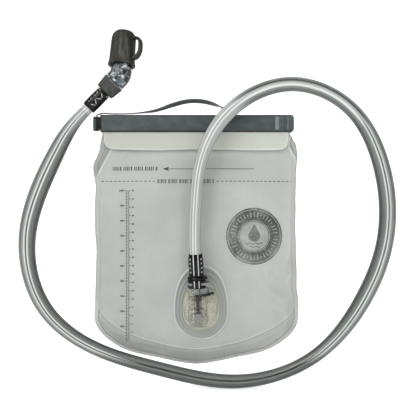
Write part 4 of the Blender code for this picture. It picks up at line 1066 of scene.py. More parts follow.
def make_gusset():
    """A film folded like a roof between the panels, its two edges in the bottom weld."""
    half = 0.4 * MM
    turns = [math.pi * i / 10 for i in range(11)]
    profile = [(half, 0.0, 0.0), (half, 0.45, 0.0)]
    profile += [(half * math.cos(t), 0.9, math.sin(t)) for t in turns]
    profile += [(-half, 0.45, 0.0), (-half, 0.0, 0.0)]
    rows = [[(s * GUSSET_HALF_WIDTH, SEAM_Y + y, bottom_edge(s) + GUSSET_RISE * climb + half * arc)
             for s in 0.955 * np.linspace(-1.0, 1.0, 120)] for y, climb, arc in profile]
    gusset = add_object("gusset_fold", sheet(rows), FILM_SURFACE, sharp_angle=60.0)
    far = np.full(len(gusset.data.vertices), FAR)
    add_values(gusset, edge_mm=far, gusset_mm=far, shoulder_mm=-far)
    thicken(gusset, FILM)
    keep(gusset, "reservoir", "film", "bottom_gusset")


# --- Slide bar and leash -----------------------------------------------------------------------------
def ridge_mesh(x):
    """A soft upright ridge on the bar's front."""
    swell = [(x - RIDGE_HALF_WIDTH, BAR_FRONT_Y + 0.8)]
    for i in range(17):
        turn = math.pi * i / 16
        swell.append((x - RIDGE_HALF_WIDTH * math.cos(turn), BAR_FRONT_Y - 0.9 * math.sin(turn) ** 1.5))
    swell.append((x + RIDGE_HALF_WIDTH, BAR_FRONT_Y + 0.8))
    return prism(swell, BAR_BOTTOM_Z + 1.5, BAR_TOP_Z - 1.5, "Z")


def make_tongue():
    """The slotted end of the bar that holds the leash."""
    outline = rounded_outline((BAR_LEFT_X - 6, BAR_BOTTOM_Z + 2), (BAR_LEFT_X + 1, BAR_TOP_Z - 2), 1.2)
    tongue = add_object("tongue", prism(outline, BAR_FRONT_Y, BAR_CAVITY_FRONT_Y, "Y"))
    combine(tongue, box_mesh((BAR_LEFT_X - 3.9, BAR_FRONT_Y - 3, BAR_BOTTOM_Z + 4),
                             (BAR_LEFT_X - 2.3, BAR_CAVITY_FRONT_Y + 3, BAR_TOP_Z - 4)))
    mesh = bmesh.new()
    mesh.from_mesh(tongue.data)
    bpy.data.objects.remove(tongue, do_unlink=True)
    return mesh


def make_slide_bar():
    """The channel over the folded mouth, with soft ridges at one end and a slotted tongue."""
    section = rounded_outline((BAR_FRONT_Y, BAR_BOTTOM_Z), (BAR_BACK_Y, BAR_TOP_Z), 1.5)
    bar = add_object("slide_bar_body", prism(section, BAR_LEFT_X, BAR_RIGHT_X, "X"), BAR_PLASTIC)
    combine(bar, box_mesh((BAR_LEFT_X - 9, BAR_CAVITY_FRONT_Y, BAR_BOTTOM_Z - 5),
                          (BAR_RIGHT_X - 1.4, BAR_CAVITY_BACK_Y, BAR_TOP_Z - 2.9)))
    for x in RIDGE_PLACES:
        combine(bar, ridge_mesh(x), operation="UNION")
    for z in (BAR_BOTTOM_Z + 1.2, BAR_TOP_Z - 1.5):
        combine(bar, box_mesh((BAR_LEFT_X + 1.2, BAR_FRONT_Y - 1, z),
                              (BAR_RIGHT_X - 17, BAR_FRONT_Y + 0.3, z + 0.4)))
    combine(bar, make_tongue(), operation="UNION")
    ends = rounded_outline((BAR_LEFT_X - 20, BAR_BOTTOM_Z - 0.01),
                           (BAR_RIGHT_X + 0.01, BAR_TOP_Z + 0.01), 3.0)
    combine(bar, prism(ends, -40, 20, "Y"), operation="INTERSECT")
    bevel(bar, 0.18)
    keep(bar, "bar", "bar_plastic", "slide_bar")


def make_leash_toggle():
    outline = rounded_outline((-86.9, 96.0), (-81.4, 108.4), 1.2)
    toggle = add_object("leash_toggle_bar", prism(outline, -15.0, -13.8, "Y"), TOGGLE)
    combine(toggle, box_mesh((-84.5, -16, 98.5), (-83.8, -14.6, 106.6)))
    bevel(toggle, 0.25, 3)
    keep(toggle, "bar", "black_plastic", "leash_toggle")


def make_leash():
    """A film ribbon from behind the bar, over its top and down through the tongue's slot."""
    path = [Vector(point) * MM for point in LEASH_PATH]
    edges = [[], []]
    for i, point in enumerate(path):
        along = direction(path, i).normalized()
        across = X_AXIS.lerp(Y_AXIS, ease((i - 2) / 4))
        across = (across - along * across.dot(along)).normalized()
        tilt = LEASH_TILT * ease((i - 2) / 2) * ease((9 - i) / 2)
        across = Matrix.Rotation(tilt, 3, along) @ across
        edges[0].append(point - across * LEASH_HALF_WIDTH * MM)
        edges[1].append(point + across * LEASH_HALF_WIDTH * MM)
    first, second = [curve_through(edge, 150) for edge in edges]
    rows = [[a.lerp(b, share) for share in (0.0, 0.25, 0.5, 0.75, 1.0)] for a, b in zip(first, second)]
    leash = add_object("leash_ribbon", sheet(rows), LEASH_SURFACE)
    thicken(leash, LEASH_THICKNESS * MM)
    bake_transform(leash)
    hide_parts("leash")


# --- Port: welded plate, bell and connector ----------------------------------------------------------
def egg_ring(centre, radius, peak, y, power):
    """An egg's outline: round below, and drawn up to a blunt peak above."""
    ring = []
    for turn in full_turn(112):
        across, up = math.cos(turn), math.sin(turn)
        if up > 0:
            across = math.copysign(abs(across) ** (2.0 / power), across)
            up = up ** (2.0 / power)
        height = peak if up > 0 else radius
        ring.append(Vector((centre.x + radius * across, y, centre.z + height * up)))
    return ring


def make_port_flange():
    """The welded plate: rounded steps down from the opening to a thin rim."""
    levels = [(23.1, 0.0), (23.1, 0.5), (22.7, 0.9), (21.9, 1.0), (21.3, 0.8), (20.6, 0.8), (19.9, 0.8),
              (19.3, 1.35), (18.2, 1.5), (17.4, 1.35), (16.6, 1.6), (15.9, 1.9), (15.2, 1.75),
              (12.0, 1.75), (11.3, 1.5), (11.3, 0.0)]
    rings = []
    for radius, height in levels:
        share = radius * MM / FLANGE_RADIUS
        y = FLANGE_CENTRE.y - height * MM
        size = (FLANGE_RADIUS * share, FLANGE_PEAK * share)
        rings.append(egg_ring(FLANGE_CENTRE, *size, y, FLANGE_SQUARENESS))
    plate = add_object("port_plate", loft(rings, closed=True), PLATE, sharp_angle=50.0)
    add_values(plate, ring_mm=[radius for radius, _ in levels for _ in rings[0]])
    keep(plate, "reservoir", "film", "port_flange")


def bell_rings(inset):
    """Rings of the bell's dome, from its foot up, this far inside its outer skin."""
    rings = []
    for i in range(15):
        rise = 0.5 * math.pi * i / 14 * 0.86
        shrink = (HOUSING_RADIUS - inset) / HOUSING_RADIUS * math.cos(rise)
        y = HOUSING_CENTRE.y - (HOUSING_HEIGHT - inset) * math.sin(rise)
        size = (HOUSING_RADIUS * shrink, HOUSING_PEAK * shrink)
        rings.append(egg_ring(HOUSING_CENTRE, *size, y, HOUSING_SQUARENESS))
    return rings


def make_port_housing():
    """The clear bell over the opening, with the connector's socket tube through it."""
    bell = add_object("port_bell", loft(bell_rings(HOUSING_WALL)[::-1] + bell_rings(0.0)), CLEAR)
    tube = turned_solid([(6.9, -11.4), (8.4, -6.5), (8.4, 13.3), (8.2, 13.8), (7.6, 14.6), (7.6, 20.4)])
    combine(bell, tube, PORT, "UNION")
    combine(bell, turned_solid([(5.9, -10.2), (5.9, 30)]), PORT)
    combine(bell, box_mesh((-4.5, 1, -8), (4.5, 14, 5)), PORT)
    keep(bell, "reservoir", "clear_plastic", "port_housing")


def make_socket_collar():
    ring = turned_ring([(7.6, 20.8), (7.6, 26.9), (5.4, 26.9), (5.4, 20.8)], corner=0.4)
    collar = add_object("latch_collar", ring, PORT_BLACK, PORT)
    combine(collar, box_mesh((-12, -6.6, 22.6), (12, 6.6, 25.0)), PORT)
    keep(collar, "reservoir", "black_plastic", "socket_collar")


def curved_plate(inner, outer, start, end, low, high, steps=24):
    """A plate bent round the thumb pad's own centre, between two turns in degrees."""
    outline = []
    for radius, order in ((inner, range(steps + 1)), (outer, range(steps, -1, -1))):
        for i in order:
            turn = math.radians(start + (end - start) * i / steps)
            outline.append((1.9 + radius * math.cos(turn), radius * math.sin(turn)))
    return prism(outline, low, high, "Z")


def make_latch():
    """The keyhole plate with its arm and curved thumb pad, and a black strip with a foot along the pad."""
    plate = prism(rounded_outline((-6.6, -6.2), (9.6, 6.2), 1.5), 22.9, 24.7, "Z")
    latch = add_object("latch_press", plate, LATCH_SURFACE, PORT)
    combine(latch, prism(rounded_outline((-5.4, -5.4), (7.4, 5.4), 5.3), 20, 28, "Z"), PORT)
    arm = [(8.4, 22.9), (9.8, 22.9), (9.8, 16.8), (11.2, 16.8), (11.2, 23.6), (10.4, 24.7), (8.4, 24.7)]
    combine(latch, prism(arm, -6.2, -1.3, "Y"), PORT, "UNION")
    combine(latch, curved_plate(8.1, 9.5, -84, -24, 15.9, 20.4), PORT, "UNION")
    bevel(latch, 0.15)
    keep(latch, "latch", "frosted_plastic", "latch_plate")
    lip = add_object("latch_dark_strip", curved_plate(8.3, 10.2, -84, -27, 14.4, 16.3), BLACK, PORT)
    foot = [(9.85, 15.2), (13.9, 15.2), (13.9, 16.4), (11.2, 16.8), (9.85, 16.8)]
    combine(lip, prism(foot, -6.2, -1.3, "Y"), PORT, "UNION")
    bevel(lip, 0.2)
    keep(lip, "latch", "frosted_plastic")


def strain_relief(name, node, surface, frame_matrix, base, side, end_radius, slot_rows):
    """A boot over the hose end, drawn out to one side of its base, with rows of real slots."""
    profile = [(6.05, 0.0), (6.2, 0.8), (6.0, 1.8), (6.2, 9.0), (6.1, 12.0), (end_radius, 17.4), (5.1, 17.4),
               (5.1, 14.2), (5.6, 12.8), (5.6, 0.0)]
    rings = turned_ring([(r, base + side * d) for r, d in profile], segments=96, corner=0.5)
    boot = add_object(name, rings, surface, frame_matrix)
    slots = bmesh.new()
    for turn, shift, width, tilt in slot_rows:
        for i, level in enumerate(SLOT_LEVELS):
            spot = Vector(mm(6.4, 0.0, base + side * (level + shift)))
            size = Matrix.Diagonal((*mm(SLOT_DEPTH, SLOT_LENGTH, width), 1.0))
            lean = Matrix.Rotation(math.radians(tilt if i % 2 else -tilt), 4, "X")
            place = Matrix.Rotation(math.radians(turn), 4, "Z") @ Matrix.Translation(spot) @ lean @ size
            bmesh.ops.create_cube(slots, size=1.0, matrix=place)
    combine(boot, slots, frame_matrix)
    bevel(boot, 0.12)
    keep(boot, "drinking_hose", "black_plastic", node)


# Small parts of revolution: (piece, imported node, frame, body, slot, surface, profile).
TURNED_PARTS = [
    ("seat_ring", "seat_sleeve", PORT, "reservoir", "frosted_plastic", FROSTED,
     [(5.6, 15.4), (5.6, 20.2), (4.9, 20.2), (4.9, 15.4)]),
    ("poppet_stem", "poppet", PORT, "valve_poppet", "black_plastic", PORT_BLACK,
     [(0.05, -8.9), (1.4, -8.9), (1.4, 2.2), (4.9, 2.2), (4.9, 3.0), (3.0, 3.4), (3.0, 12.8), (2.2, 13.2),
      (2.2, 15.6), (0.05, 15.6)]),
    ("poppet_lip", "poppet_seal", PORT, "valve_poppet", "rubber", RUBBER,
     [(3.35, 9.3), (3.35, 10.7), (5.1, 12.1), (5.5, 11.7), (4.3, 9.9)]),
    ("spring_cup", "spring_cage", PORT, "reservoir", "frosted_plastic", FROSTED,
     [(5.5, -9.8), (5.5, -1.2), (4.6, -1.2), (4.6, -8.8), (1.8, -8.8), (1.8, -9.8)]),
    ("hose_tail", "tailpiece", BITE, "drinking_hose", "black_plastic", BLACK,
     [(3.0, 7.0), (3.7, 9.5), (3.3, 12.5), (3.7, 14.5), (3.3, 17.5), (3.3, 20.1), (6.0, 20.1), (6.0, 21.2),
      (4.3, 21.2), (4.3, 30.0), (1.6, 30.0), (1.6, 29.0), (2.4, 28.4), (2.4, 7.0)]),
    ("mouthpiece_valve", "bite_valve", MOUTH, "mouthpiece", "silicone", SILICONE,
     [(8.1, 9.7), (8.1, 12.6), (7.0, 15.0), (7.0, 20.0), (6.0, 24.0), (6.3, 31.5), (4.9, 34.0), (0.7, 34.4),
      (0.7, 33.2), (3.2, 32.4), (3.4, 18.5), (5.7, 16.6), (5.7, 9.7)]),
]
# O-rings: (piece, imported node, frame, body, ring radius, wire radius, height).
SEAL_RINGS = [
    ("lower_seal", "plug_lower_ring", PORT, "drinking_hose", 4.15, 0.44, 17.25),
    ("upper_seal", "plug_upper_ring", PORT, "drinking_hose", 4.15, 0.44, 19.25),
    ("swivel_seal", "elbow_ring", BITE, "shutoff", 4.9, 0.48, 35.1),
]


def make_turned_parts():
    for piece, node, place, body, slot, surface, profile in TURNED_PARTS:
        keep(add_object(piece, turned_ring(profile), surface, place), body, slot, node)


def make_seal_rings():
    for piece, node, place, body, radius, wire, height in SEAL_RINGS:
        rings = [circle(*mm(radius + wire * math.cos(t), height + wire * math.sin(t))) for t in full_turn(16)]
        keep(add_object(piece, loft(rings, closed=True), RUBBER, place), body, "rubber", node)


def make_plug():
    """The hose's half of the connector: grooved spigot, latch land, flange with an ear and a barb."""
    profile = [(4.2, 15.9), (4.2, 16.5), (3.4, 16.5), (3.4, 18.0), (4.2, 18.0), (4.2, 18.5), (3.4, 18.5),
               (3.4, 20.0), (4.2, 20.0), (4.2, 21.6), (5.0, 22.0), (5.0, 27.2), (7.6, 27.2), (7.9, 28.4),
               (6.4, 30.4), (3.3, 30.4), (3.3, 33.5), (3.7, 35.0), (3.3, 38.5), (3.7, 40.0), (3.0, 43.0),
               (2.4, 43.0), (2.4, 15.9)]
    plug = add_object("plug_body", turned_ring(profile, corner=0.2), BLACK, PORT)
    ear = prism([(5.0, 27.3), (9.2, 27.6), (8.6, 29.2), (5.0, 30.2)], -2.4, 2.4, "Y")
    combine(plug, ear, PORT, "UNION")
    keep(plug, "drinking_hose", "black_plastic", "plug")


# --- Hose ----------------------------------------------------------------------------------------------
def spline_points(knots, start_slope, end_slope, count):
    """Evenly spaced points on a cubic spline through the knots with given end directions.
    Each knot, direction and point is (x, y, z, radius)."""
    knots = np.array(knots, float)
    lengths = np.linalg.norm(np.diff(knots, axis=0), axis=1)
    size = len(knots)
    system, target = np.zeros((size, size)), np.zeros((size, 4))
    system[0, 0] = system[-1, -1] = 1.0
    target[0], target[-1] = start_slope, end_slope
    for i in range(1, size - 1):
        before, after = lengths[i - 1], lengths[i]
        system[i, i - 1], system[i, i], system[i, i + 1] = after, 2 * (before + after), before
        ahead, behind = knots[i + 1] - knots[i], knots[i] - knots[i - 1]
        target[i] = 3 * (before * ahead / after + after * behind / before)
    slopes = np.linalg.solve(system, target)
    fine = []
    for i in range(size - 1):
        for t in np.linspace(0.0, 1.0, 30, endpoint=i == size - 2):
            fine.append(between(t, lengths[i], knots[i], knots[i + 1], slopes[i], slopes[i + 1]))
    fine = np.array(fine)
    travelled = travelled_along(fine)
    wanted = np.linspace(0.0, travelled[-1], count)
    return [tuple(np.interp(w, travelled, fine[:, k]) for k in range(4)) for w in wanted]


def make_hose():
    """The tube with both stretched ends. Two values on it steer its painted highlights, reflections
    and shadow: where a point lies across the tube as seen from the front, and how far the tube lies over the
    reservoir."""
    knots = [Vector(knot) * MM for knot in HOSE_KNOTS]
    free = spline_points(knots, (*PORT_AXIS, 0.0), (*BITE_AXIS, 0.0), HOSE_STEPS)[1:-1]
    points = [PORT_ORIGIN + PORT_AXIS * (PORT_HOSE_START + step) * MM for step in HOSE_END_STEPS]
    points += [Vector(spot[:3]) for spot in free]
    points += [BITE_ORIGIN + BITE_AXIS * (BITE_HOSE_START - step) * MM for step in HOSE_END_STEPS[::-1]]
    outer_end = [(4.75 + 0.5 * s) * MM for s in HOSE_END_STRETCH]
    inner_end = [(3.2 + 0.85 * s) * MM for s in HOSE_END_STRETCH]
    outer = outer_end + [spot[3] for spot in free] + outer_end[::-1]
    inner = inner_end + [spot[3] - HOSE_WALL * MM for spot in free] + inner_end[::-1]
    hose = add_object("hose_tube", swept_tube(points, outer, inner, HOSE_SEGMENTS, X_AXIS), HOSE_SURFACE)
    hose.data.materials.append(BORE_SURFACE)
    count = len(points)
    sides, covers = [], []
    for i, point in enumerate(points):
        sides.append((point - CAMERA_PLACE).cross(direction(points, i)).normalized())
        way = i / count
        over = 1.0 - ease((way - HOSE_LEAVES) / HOSE_LEAVES_FADE)
        over += 0.5 * ease((way - HOSE_DARKENS) / HOSE_DARKENS_FADE)
        # Under the boots the value 2 brings in the painted light seen through their slots.
        covers.append(2.0 if min(i, count - 1 - i) < len(HOSE_END_STEPS) else over)
    rings = [i for i in [*range(count), *reversed(range(count))] for _ in range(HOSE_SEGMENTS)]
    across = [(vertex.co - points[i]).dot(sides[i]) / outer[i]
              for vertex, i in zip(hose.data.vertices, rings)]
    add_values(hose, across=across, cover=[covers[i] for i in rings])
    wall_faces = (count - 1) * HOSE_SEGMENTS
    for face in hose.data.polygons:
        inside = wall_faces + HOSE_SEGMENTS <= face.index < 2 * wall_faces + HOSE_SEGMENTS
        face.material_index = int(inside)
    keep(hose, "drinking_hose", "hose_clear", "hose")


# --- Bite end ------------------------------------------------------------------------------------------
def make_twist_collar():
    """The shut-off ring: a skirt of fine ribs, a valve web and the elbow's spigot."""
    profile = softened([
        (7.6, 21.5), (8.15, 21.9), (8.3, 22.8), (9.3, 31.0), (9.5, 31.6), (9.5, 32.4), (9.2, 33.2),
        (5.2, 33.2), (5.2, 34.4), (4.1, 34.4), (4.1, 35.8), (5.2, 35.8), (5.2, 38.0), (3.2, 38.0),
        (3.2, 31.6), (1.6, 31.6), (1.6, 30.4), (4.6, 30.4), (4.6, 21.5),
    ])
    ribs, points_per_rib = 32, 8
    rings, groove = [], []
    for radius, height in profile:
        ribbed = ease((height - 22.6) / 0.6) * ease((31.4 - height) / 0.6) * (radius > 7.0)
        rim = 1.0 - ease((height - 22.2) / 0.6)
        ring = []
        for turn in full_turn(ribs * points_per_rib):
            depth = ribbed * (0.5 - 0.5 * math.cos(ribs * turn))
            out = radius - 0.45 * depth
            ring.append(mm(out * math.cos(turn), out * math.sin(turn), height))
            # The groove value sets painted shade between the ribs; it is also 1 along the skirt's lower rim.
            groove.append(max(depth, rim))
        rings.append(ring)
    collar = add_object("shutoff_collar", loft(rings, closed=True), COLLAR_PLASTIC, BITE, sharp_angle=50.0)
    add_values(collar, groove=groove)
    keep(collar, "shutoff", "collar_plastic", "twist_collar")


ELBOW_BEND_RADIUS, ELBOW_BORE, ELBOW_SOCKET = 9.0 * MM, 3.9, 5.65
STRAP_RADIUS, STRAP_HALF_WIDTH, STRAP_TURN = 1.3, 3.0, math.radians(-28.0)


def make_elbow():
    """The clear bend, wide where it turns on the collar and narrowed into the bite valve."""
    bend = math.acos(BITE_AXIS.dot(MOUTH_AXIS))
    radius = ELBOW_BEND_RADIUS
    inward = (MOUTH_AXIS - BITE_AXIS * math.cos(bend)).normalized()
    centre = MOUTH_ORIGIN - BITE_AXIS * radius * math.tan(0.5 * bend) + inward * radius
    # (point, outer radius, inner radius) along the bend, radii in millimetres.
    stations = [(BITE_ORIGIN + BITE_AXIS * height * MM, outer, ELBOW_SOCKET)
                for height, outer in ((33.6, 8.7), (34.0, 9.0))]
    for i in range(25):
        turn = bend * i / 24
        spot = centre + (BITE_AXIS * math.sin(turn) - inward * math.cos(turn)) * radius
        stations.append((spot, 9.0, ELBOW_SOCKET if i < 4 else ELBOW_BORE))
    for height, outer in ((6.5, 8.8), (8.6, 8.4), (9.0, 8.1), (9.1, 5.4), (15.6, 5.3), (16.0, 5.0)):
        stations.append((MOUTH_ORIGIN + MOUTH_AXIS * height * MM, outer, ELBOW_BORE))
    points, outer, inner = zip(*stations)
    mesh = swept_tube(points, mm(*outer), mm(*inner), 64, Y_AXIS)
    keep(add_object("elbow_tube", mesh, SMOKY), "mouthpiece", "clear_plastic", "elbow")


def make_dust_cap():
    """A domed cup with a D-shaped pull strap at its side."""
    profile = [
        (0.05, 37.4), (6.6, 36.4), (8.7, 33.2), (9.0, 14.0), (8.7, 8.6), (11.4, 8.4), (11.7, 9.0),
        (10.9, 12.5), (10.3, 32.0), (9.6, 35.4), (7.4, 38.0), (3.0, 39.4), (0.05, 39.6),
    ]
    cap = add_object("cap_cup", turned_ring(profile, 96, 0.9, 6), CAP_PLASTIC, MOUTH)
    path = [(9.9, 13.5), (14.0, 14.2), (17.0, 18.0), (17.6, 24.0), (16.4, 29.0), (13.5, 31.4), (9.6, 31.6)]
    points = curve_through([Vector((x, 0.0, z)) * MM for x, z in path], 60)
    widened = Matrix.Diagonal((1.0, STRAP_HALF_WIDTH / STRAP_RADIUS, 1.0))
    shape = Matrix.Rotation(STRAP_TURN, 3, "Z") @ widened
    rings = sweep_rings(points, [STRAP_RADIUS * MM] * len(points), 24, Y_AXIS)
    combine(cap, loft([[shape @ point for point in ring] for ring in rings]), MOUTH, "UNION")
    keep(cap, "cap", "cap_plastic", "dust_cap")


# --- Printing on the front film ------------------------------------------------------------------------
class Print:
    """Flat printing gathered in one mesh, then laid on the film. Places are in millimetres."""

    def __init__(self, name, surface, film, lift=0.09):
        self.name, self.surface, self.film, self.lift = name, surface, film, lift * MM
        self.mesh = bmesh.new()

    def rectangle(self, low_x, low_z, high_x, high_z):
        columns = max(1, int((high_x - low_x) / 2.0))
        lines = max(1, int((high_z - low_z) / 2.0))
        add_rows(self.mesh, [[
            Vector((low_x + (high_x - low_x) * i / columns, 0, low_z + (high_z - low_z) * k / lines)) * MM
            for i in range(columns + 1)] for k in range(lines + 1)])

    def polygon(self, outline):
        self.mesh.faces.new([self.mesh.verts.new(Vector((x, 0, z)) * MM) for x, z in outline])

    def ring(self, inner, outer, segments=96):
        """A flat ring round the badge's centre."""
        steps = max(1, int((outer - inner) / 1.5))
        add_rows(self.mesh, [[
            Vector((BADGE_X + radius * math.cos(t), 0, BADGE_Z + radius * math.sin(t))) * MM
            for t in full_turn(segments)]
            for radius in [inner + (outer - inner) * k / steps for k in range(steps + 1)]], ringed=True)

    def number(self, value, x, z, height, align):
        curve = bpy.data.curves.new("number", "FONT")
        curve.body = str(value)
        curve.size = height * MM / 0.70
        curve.offset = 0.09 * MM
        curve.align_x = align
        curve.resolution_u = 3
        drawn = link_object("number", curve)
        bpy.context.view_layer.update()
        flat = drawn.to_mesh()
        spots = [self.mesh.verts.new(Vector((x * MM + v.co.x, 0, (z - height / 2) * MM + v.co.y)))
                 for v in flat.vertices]
        for face in flat.polygons:
            self.mesh.faces.new([spots[i] for i in face.vertices])
        drawn.to_mesh_clear()
        bpy.data.objects.remove(drawn, do_unlink=True)

    def lay(self):
        for point in self.mesh.verts:
            hit = self.film.ray_cast(Vector((point.co.x, -0.08, point.co.z)), Y_AXIS)[0]
            point.co.y = hit.y - 0.5 * FILM - self.lift
        for face in self.mesh.faces:
            face.normal_update()
            if face.normal.y > 0:
                face.normal_flip()
        data = bpy.data.meshes.new(self.name)
        self.mesh.to_mesh(data)
        self.mesh.free()
        data.shade_smooth()
        data.materials.append(self.surface)
        keep(link_object(self.name, data), "reservoir", "film")


def print_scale(film):
    scale = Print("scale_print", INK, film)
    for x in SCALE_LINES:
        scale.rectangle(x, SCALE_BOTTOM_Z, x + SCALE_LINE_WIDTH, SCALE_TOP_Z)
    for i in range(10):
        z = SCALE_TOP_Z - MILLILITRE_STEP * i
        scale.number(1000 - 100 * i, -61.2, z, MILLILITRE_TEXT, "RIGHT")
        scale.rectangle(-60.9, z - 0.22, -58.5, z + 0.22)
        for k in range(1, 5):
            tick = z - MILLILITRE_STEP * k / 5
            scale.rectangle(-59.9, tick - 0.18, -58.5, tick + 0.18)
    for i in range(18):
        z = SCALE_TOP_Z - OUNCE_STEP * i
        scale.number(36 - 2 * i, -54.2, z, OUNCE_TEXT, "LEFT")
        scale.rectangle(-56.8, z - 0.2, -55.0, z + 0.2)
    scale.lay()


def mark_row(target, low_x, high_x, z, height, seed):
    """A row of plain upright bars of mixed widths: no lettering."""
    x, i = low_x, 0
    while x < high_x - 1.0:
        i += 1
        wide = 0.55 + 0.5 * (0.5 + 0.5 * math.sin(seed + 2.4 * i))
        target.rectangle(x, z - height / 2, x + wide, z + height / 2)
        x += wide + (1.9 if i % 5 == 0 else 0.85)


def print_fill_line(film):
    """A dashed line, rows of bars above and on it, and an arrow that points left."""
    line = Print("fill_line_print", INK, film)
    for low, high in ((-81.0, -34.5), (17.0, 83.0)):
        x = low
        while x < high:
            line.rectangle(x, FILL_LINE_LOW_Z, min(x + DASH, high), FILL_LINE_HIGH_Z)
            x += DASH_STEP
    mark_row(line, -32.5, 15.0, 53.7, 3.6, 0.3)
    mark_row(line, -71.0, -32.0, 64.5, 3.4, 1.7)
    line.rectangle(ARROW_TIP_X + 2.0, ARROW_Z - 0.25, ARROW_END_X, ARROW_Z + 0.25)
    tip, notch = (ARROW_TIP_X, ARROW_Z), (ARROW_TIP_X + 4.5, ARROW_Z)
    line.polygon([tip, (ARROW_TIP_X + 5.5, ARROW_Z + 1.8), notch])
    line.polygon([tip, notch, (ARROW_TIP_X + 5.5, ARROW_Z - 1.8)])
    line.lay()


def drop_outline(radius, steps=40):
    """A water drop just above the badge's centre: a circle drawn out to a point at the top."""
    outline = []
    for turn in full_turn(steps):
        lift = max(math.sin(turn), 0.0)
        narrow = 1.0 - 0.55 * lift**2
        outline.append((BADGE_X + radius * narrow * math.cos(turn),
                        BADGE_Z + 0.6 + radius * (math.sin(turn) + 0.75 * lift**3)))
    return outline


def print_badge(film):
    """A round generic badge: a dark ring with short dashes, and a drop over two waves."""
    dark = Print("badge_ring", BADGE_DARK, film)
    dark.ring(0.01, BADGE_RADIUS)
    dark.lay()
    light = Print("badge_light", BADGE_LIGHT, film, lift=0.16)
    light.ring(0.01, 13.4)
    light.ring(22.2, 22.7)
    for i, turn in enumerate(full_turn(40)):
        inner, outer = (16.4, 20.2) if i % 4 else (17.6, 19.0)
        half = 0.020
        light.polygon([(BADGE_X + r * math.cos(turn + a), BADGE_Z + r * math.sin(turn + a))
                       for r, a in ((inner, -half), (outer, -half), (outer, half), (inner, half))])
    light.lay()
    mark = Print("badge_drop", BADGE_DARK, film, lift=0.22)
    mark.ring(12.3, 12.9)
    mark.polygon(drop_outline(5.2))
    for level, reach in ((-6.6, 7.5), (-9.2, 4.5)):
        wave = [(BADGE_X + x, BADGE_Z + level + 0.5 * math.sin(1.3 * x))
                for x in np.linspace(-reach, reach, 25)]
        for (x0, z0), (x1, z1) in zip(wave, wave[1:]):
            mark.polygon([(x0, z0), (x1, z1), (x1, z1 + 0.8), (x0, z0 + 0.8)])
    mark.lay()


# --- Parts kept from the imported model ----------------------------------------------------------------
def dress_packed_parts():
    finishes = {
        "front_mouth_strip": ("stiffener", STIFFENER), "back_mouth_strip": ("stiffener", STIFFENER),
        "latch_spring": ("spring_steel", STEEL), "poppet_spring": ("spring_steel", STEEL),
    }
    for node, (slot, surface) in finishes.items():
        packed = frame["nodes"][node]
        packed.data.materials.clear()
        packed.data.materials.append(surface)


# --- Studio --------------------------------------------------------------------------------------------
FLOOR_GAP = 0.4 * MM
RING_LIGHT_STRENGTH, RING_LIGHT_EDGES = 26.0, (29.4, 30.9)
VIEW_HALF_WIDTH, VIEW_DISTANCE = 174.72, 582.0
FLOOR_FRONT_Y, FLOOR_BACK_Y, FLOOR_CURVE, FLOOR_HALF_WIDTH, WALL_TOP = -1.6, 0.9, 0.6, 3.0, 3.0
KEY_PLACE, KEY_TARGET = Vector((-0.5, -0.7, 0.75)), Vector((0.0, 0.0, 0.02))
KEY_WIDTH, KEY_HEIGHT, KEY_POWER = 0.7, 0.5, 5.0


def make_floor():
    """A pale floor that curves up into a backdrop."""
    low = cad_bounds[0].z - FLOOR_GAP
    path = [(FLOOR_FRONT_Y, 0.0), (FLOOR_BACK_Y, 0.0)]
    for i in range(1, 13):
        turn = math.radians(7.5 * i)
        path.append((FLOOR_BACK_Y + FLOOR_CURVE * math.sin(turn), FLOOR_CURVE * (1.0 - math.cos(turn))))
    path.append((FLOOR_BACK_Y + FLOOR_CURVE, WALL_TOP))
    rows = [[(x, y, low + z) for x in (-FLOOR_HALF_WIDTH, FLOOR_HALF_WIDTH)] for y, z in path]
    n = Nodes("floor")
    tone = n.ramp(n.noise(6.0, 2.0), [(0.3, (0.86, 0.86, 0.86)), (0.7, (0.9, 0.9, 0.9))])
    surface = n.done(n.principled(tone, 0.8, Emission_Color=(1.0, 1.0, 1.0), Emission_Strength=0.55))
    add_object("floor", sheet(rows), surface)


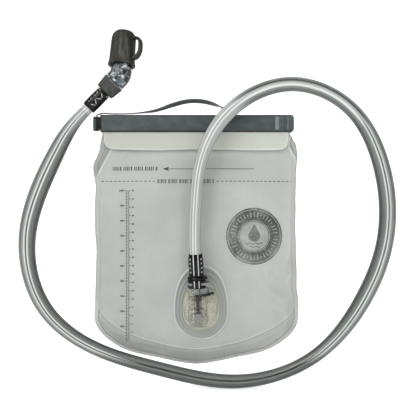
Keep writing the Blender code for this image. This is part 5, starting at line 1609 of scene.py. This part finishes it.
def make_ring_light():
    """A soft ring round the camera, which gives round parts a bright line down each side."""
    n = Nodes("ring_light")
    surface = n.done(n.add("Emission", {"Strength": RING_LIGHT_STRENGTH}))
    rows = []
    for degrees in RING_LIGHT_EDGES:
        radius = 0.6 * math.tan(math.radians(degrees))
        rows.append([(radius * math.cos(t), 0.0, radius * math.sin(t)) for t in full_turn(96)])
    place = Matrix.Translation(CAMERA_PLACE + Vector((-0.05, 0.0, 0.0)))
    ring = add_object("ring_light", sheet(rows, ringed=True), surface, place)
    ring.visible_camera = False
    ring.visible_shadow = False


def make_world():
    """White for the camera, and softly graded light for everything else."""
    n = Nodes("studio", world=True)
    up = n.parts(n.add("TexCoord", output="Generated"))[2]
    grade = n.add("MapRange", {"Value": up, "From Min": -1.0, "To Min": 0.30, "To Max": 0.62}, "Result")
    camera_ray = n.add("LightPath", output="Is Camera Ray")
    soft = n.add("Background", {"Strength": grade})
    bpy.context.scene.world = n.done(n.mix_shader(camera_ray, soft, n.add("Background")))


def make_key_light():
    light = bpy.data.lights.new("key", "AREA")
    light.shape = "RECTANGLE"
    light.size, light.size_y = KEY_WIDTH, KEY_HEIGHT
    light.energy = KEY_POWER
    key = link_object("key", light)
    key.location = KEY_PLACE
    key.rotation_euler = (KEY_TARGET - KEY_PLACE).to_track_quat("-Z", "Y").to_euler()


def make_camera():
    lens = bpy.data.cameras.new("camera")
    lens.sensor_fit = "HORIZONTAL"
    lens.angle = 2 * math.atan(VIEW_HALF_WIDTH / VIEW_DISTANCE)
    camera = link_object("camera", lens)
    camera.location = CAMERA_PLACE
    camera.rotation_euler = (math.radians(90), 0, 0)
    bpy.context.scene.camera = camera


# --- Assembly --------------------------------------------------------------------------------------------
film_tree = make_front_panel()
make_back_panel()
make_gusset()
make_slide_bar()
make_leash_toggle()
make_leash()
make_port_flange()
make_port_housing()
make_socket_collar()
make_latch()
make_plug()
make_turned_parts()
make_seal_rings()
strain_relief("plug_boot", "port_boot", PORT_BLACK, PORT, 30.8, 1, 5.5, PORT_SLOTS)
strain_relief("mouth_boot", "bite_boot", BLACK, BITE, 19.9, -1, 5.9, BITE_SLOTS)
make_hose()
make_twist_collar()
make_elbow()
make_dust_cap()
print_scale(film_tree)
print_fill_line(film_tree)
print_badge(film_tree)
dress_packed_parts()
make_floor()
make_ring_light()
make_world()
make_key_light()
make_camera()
bpy.context.scene.view_settings.view_transform = "Standard"
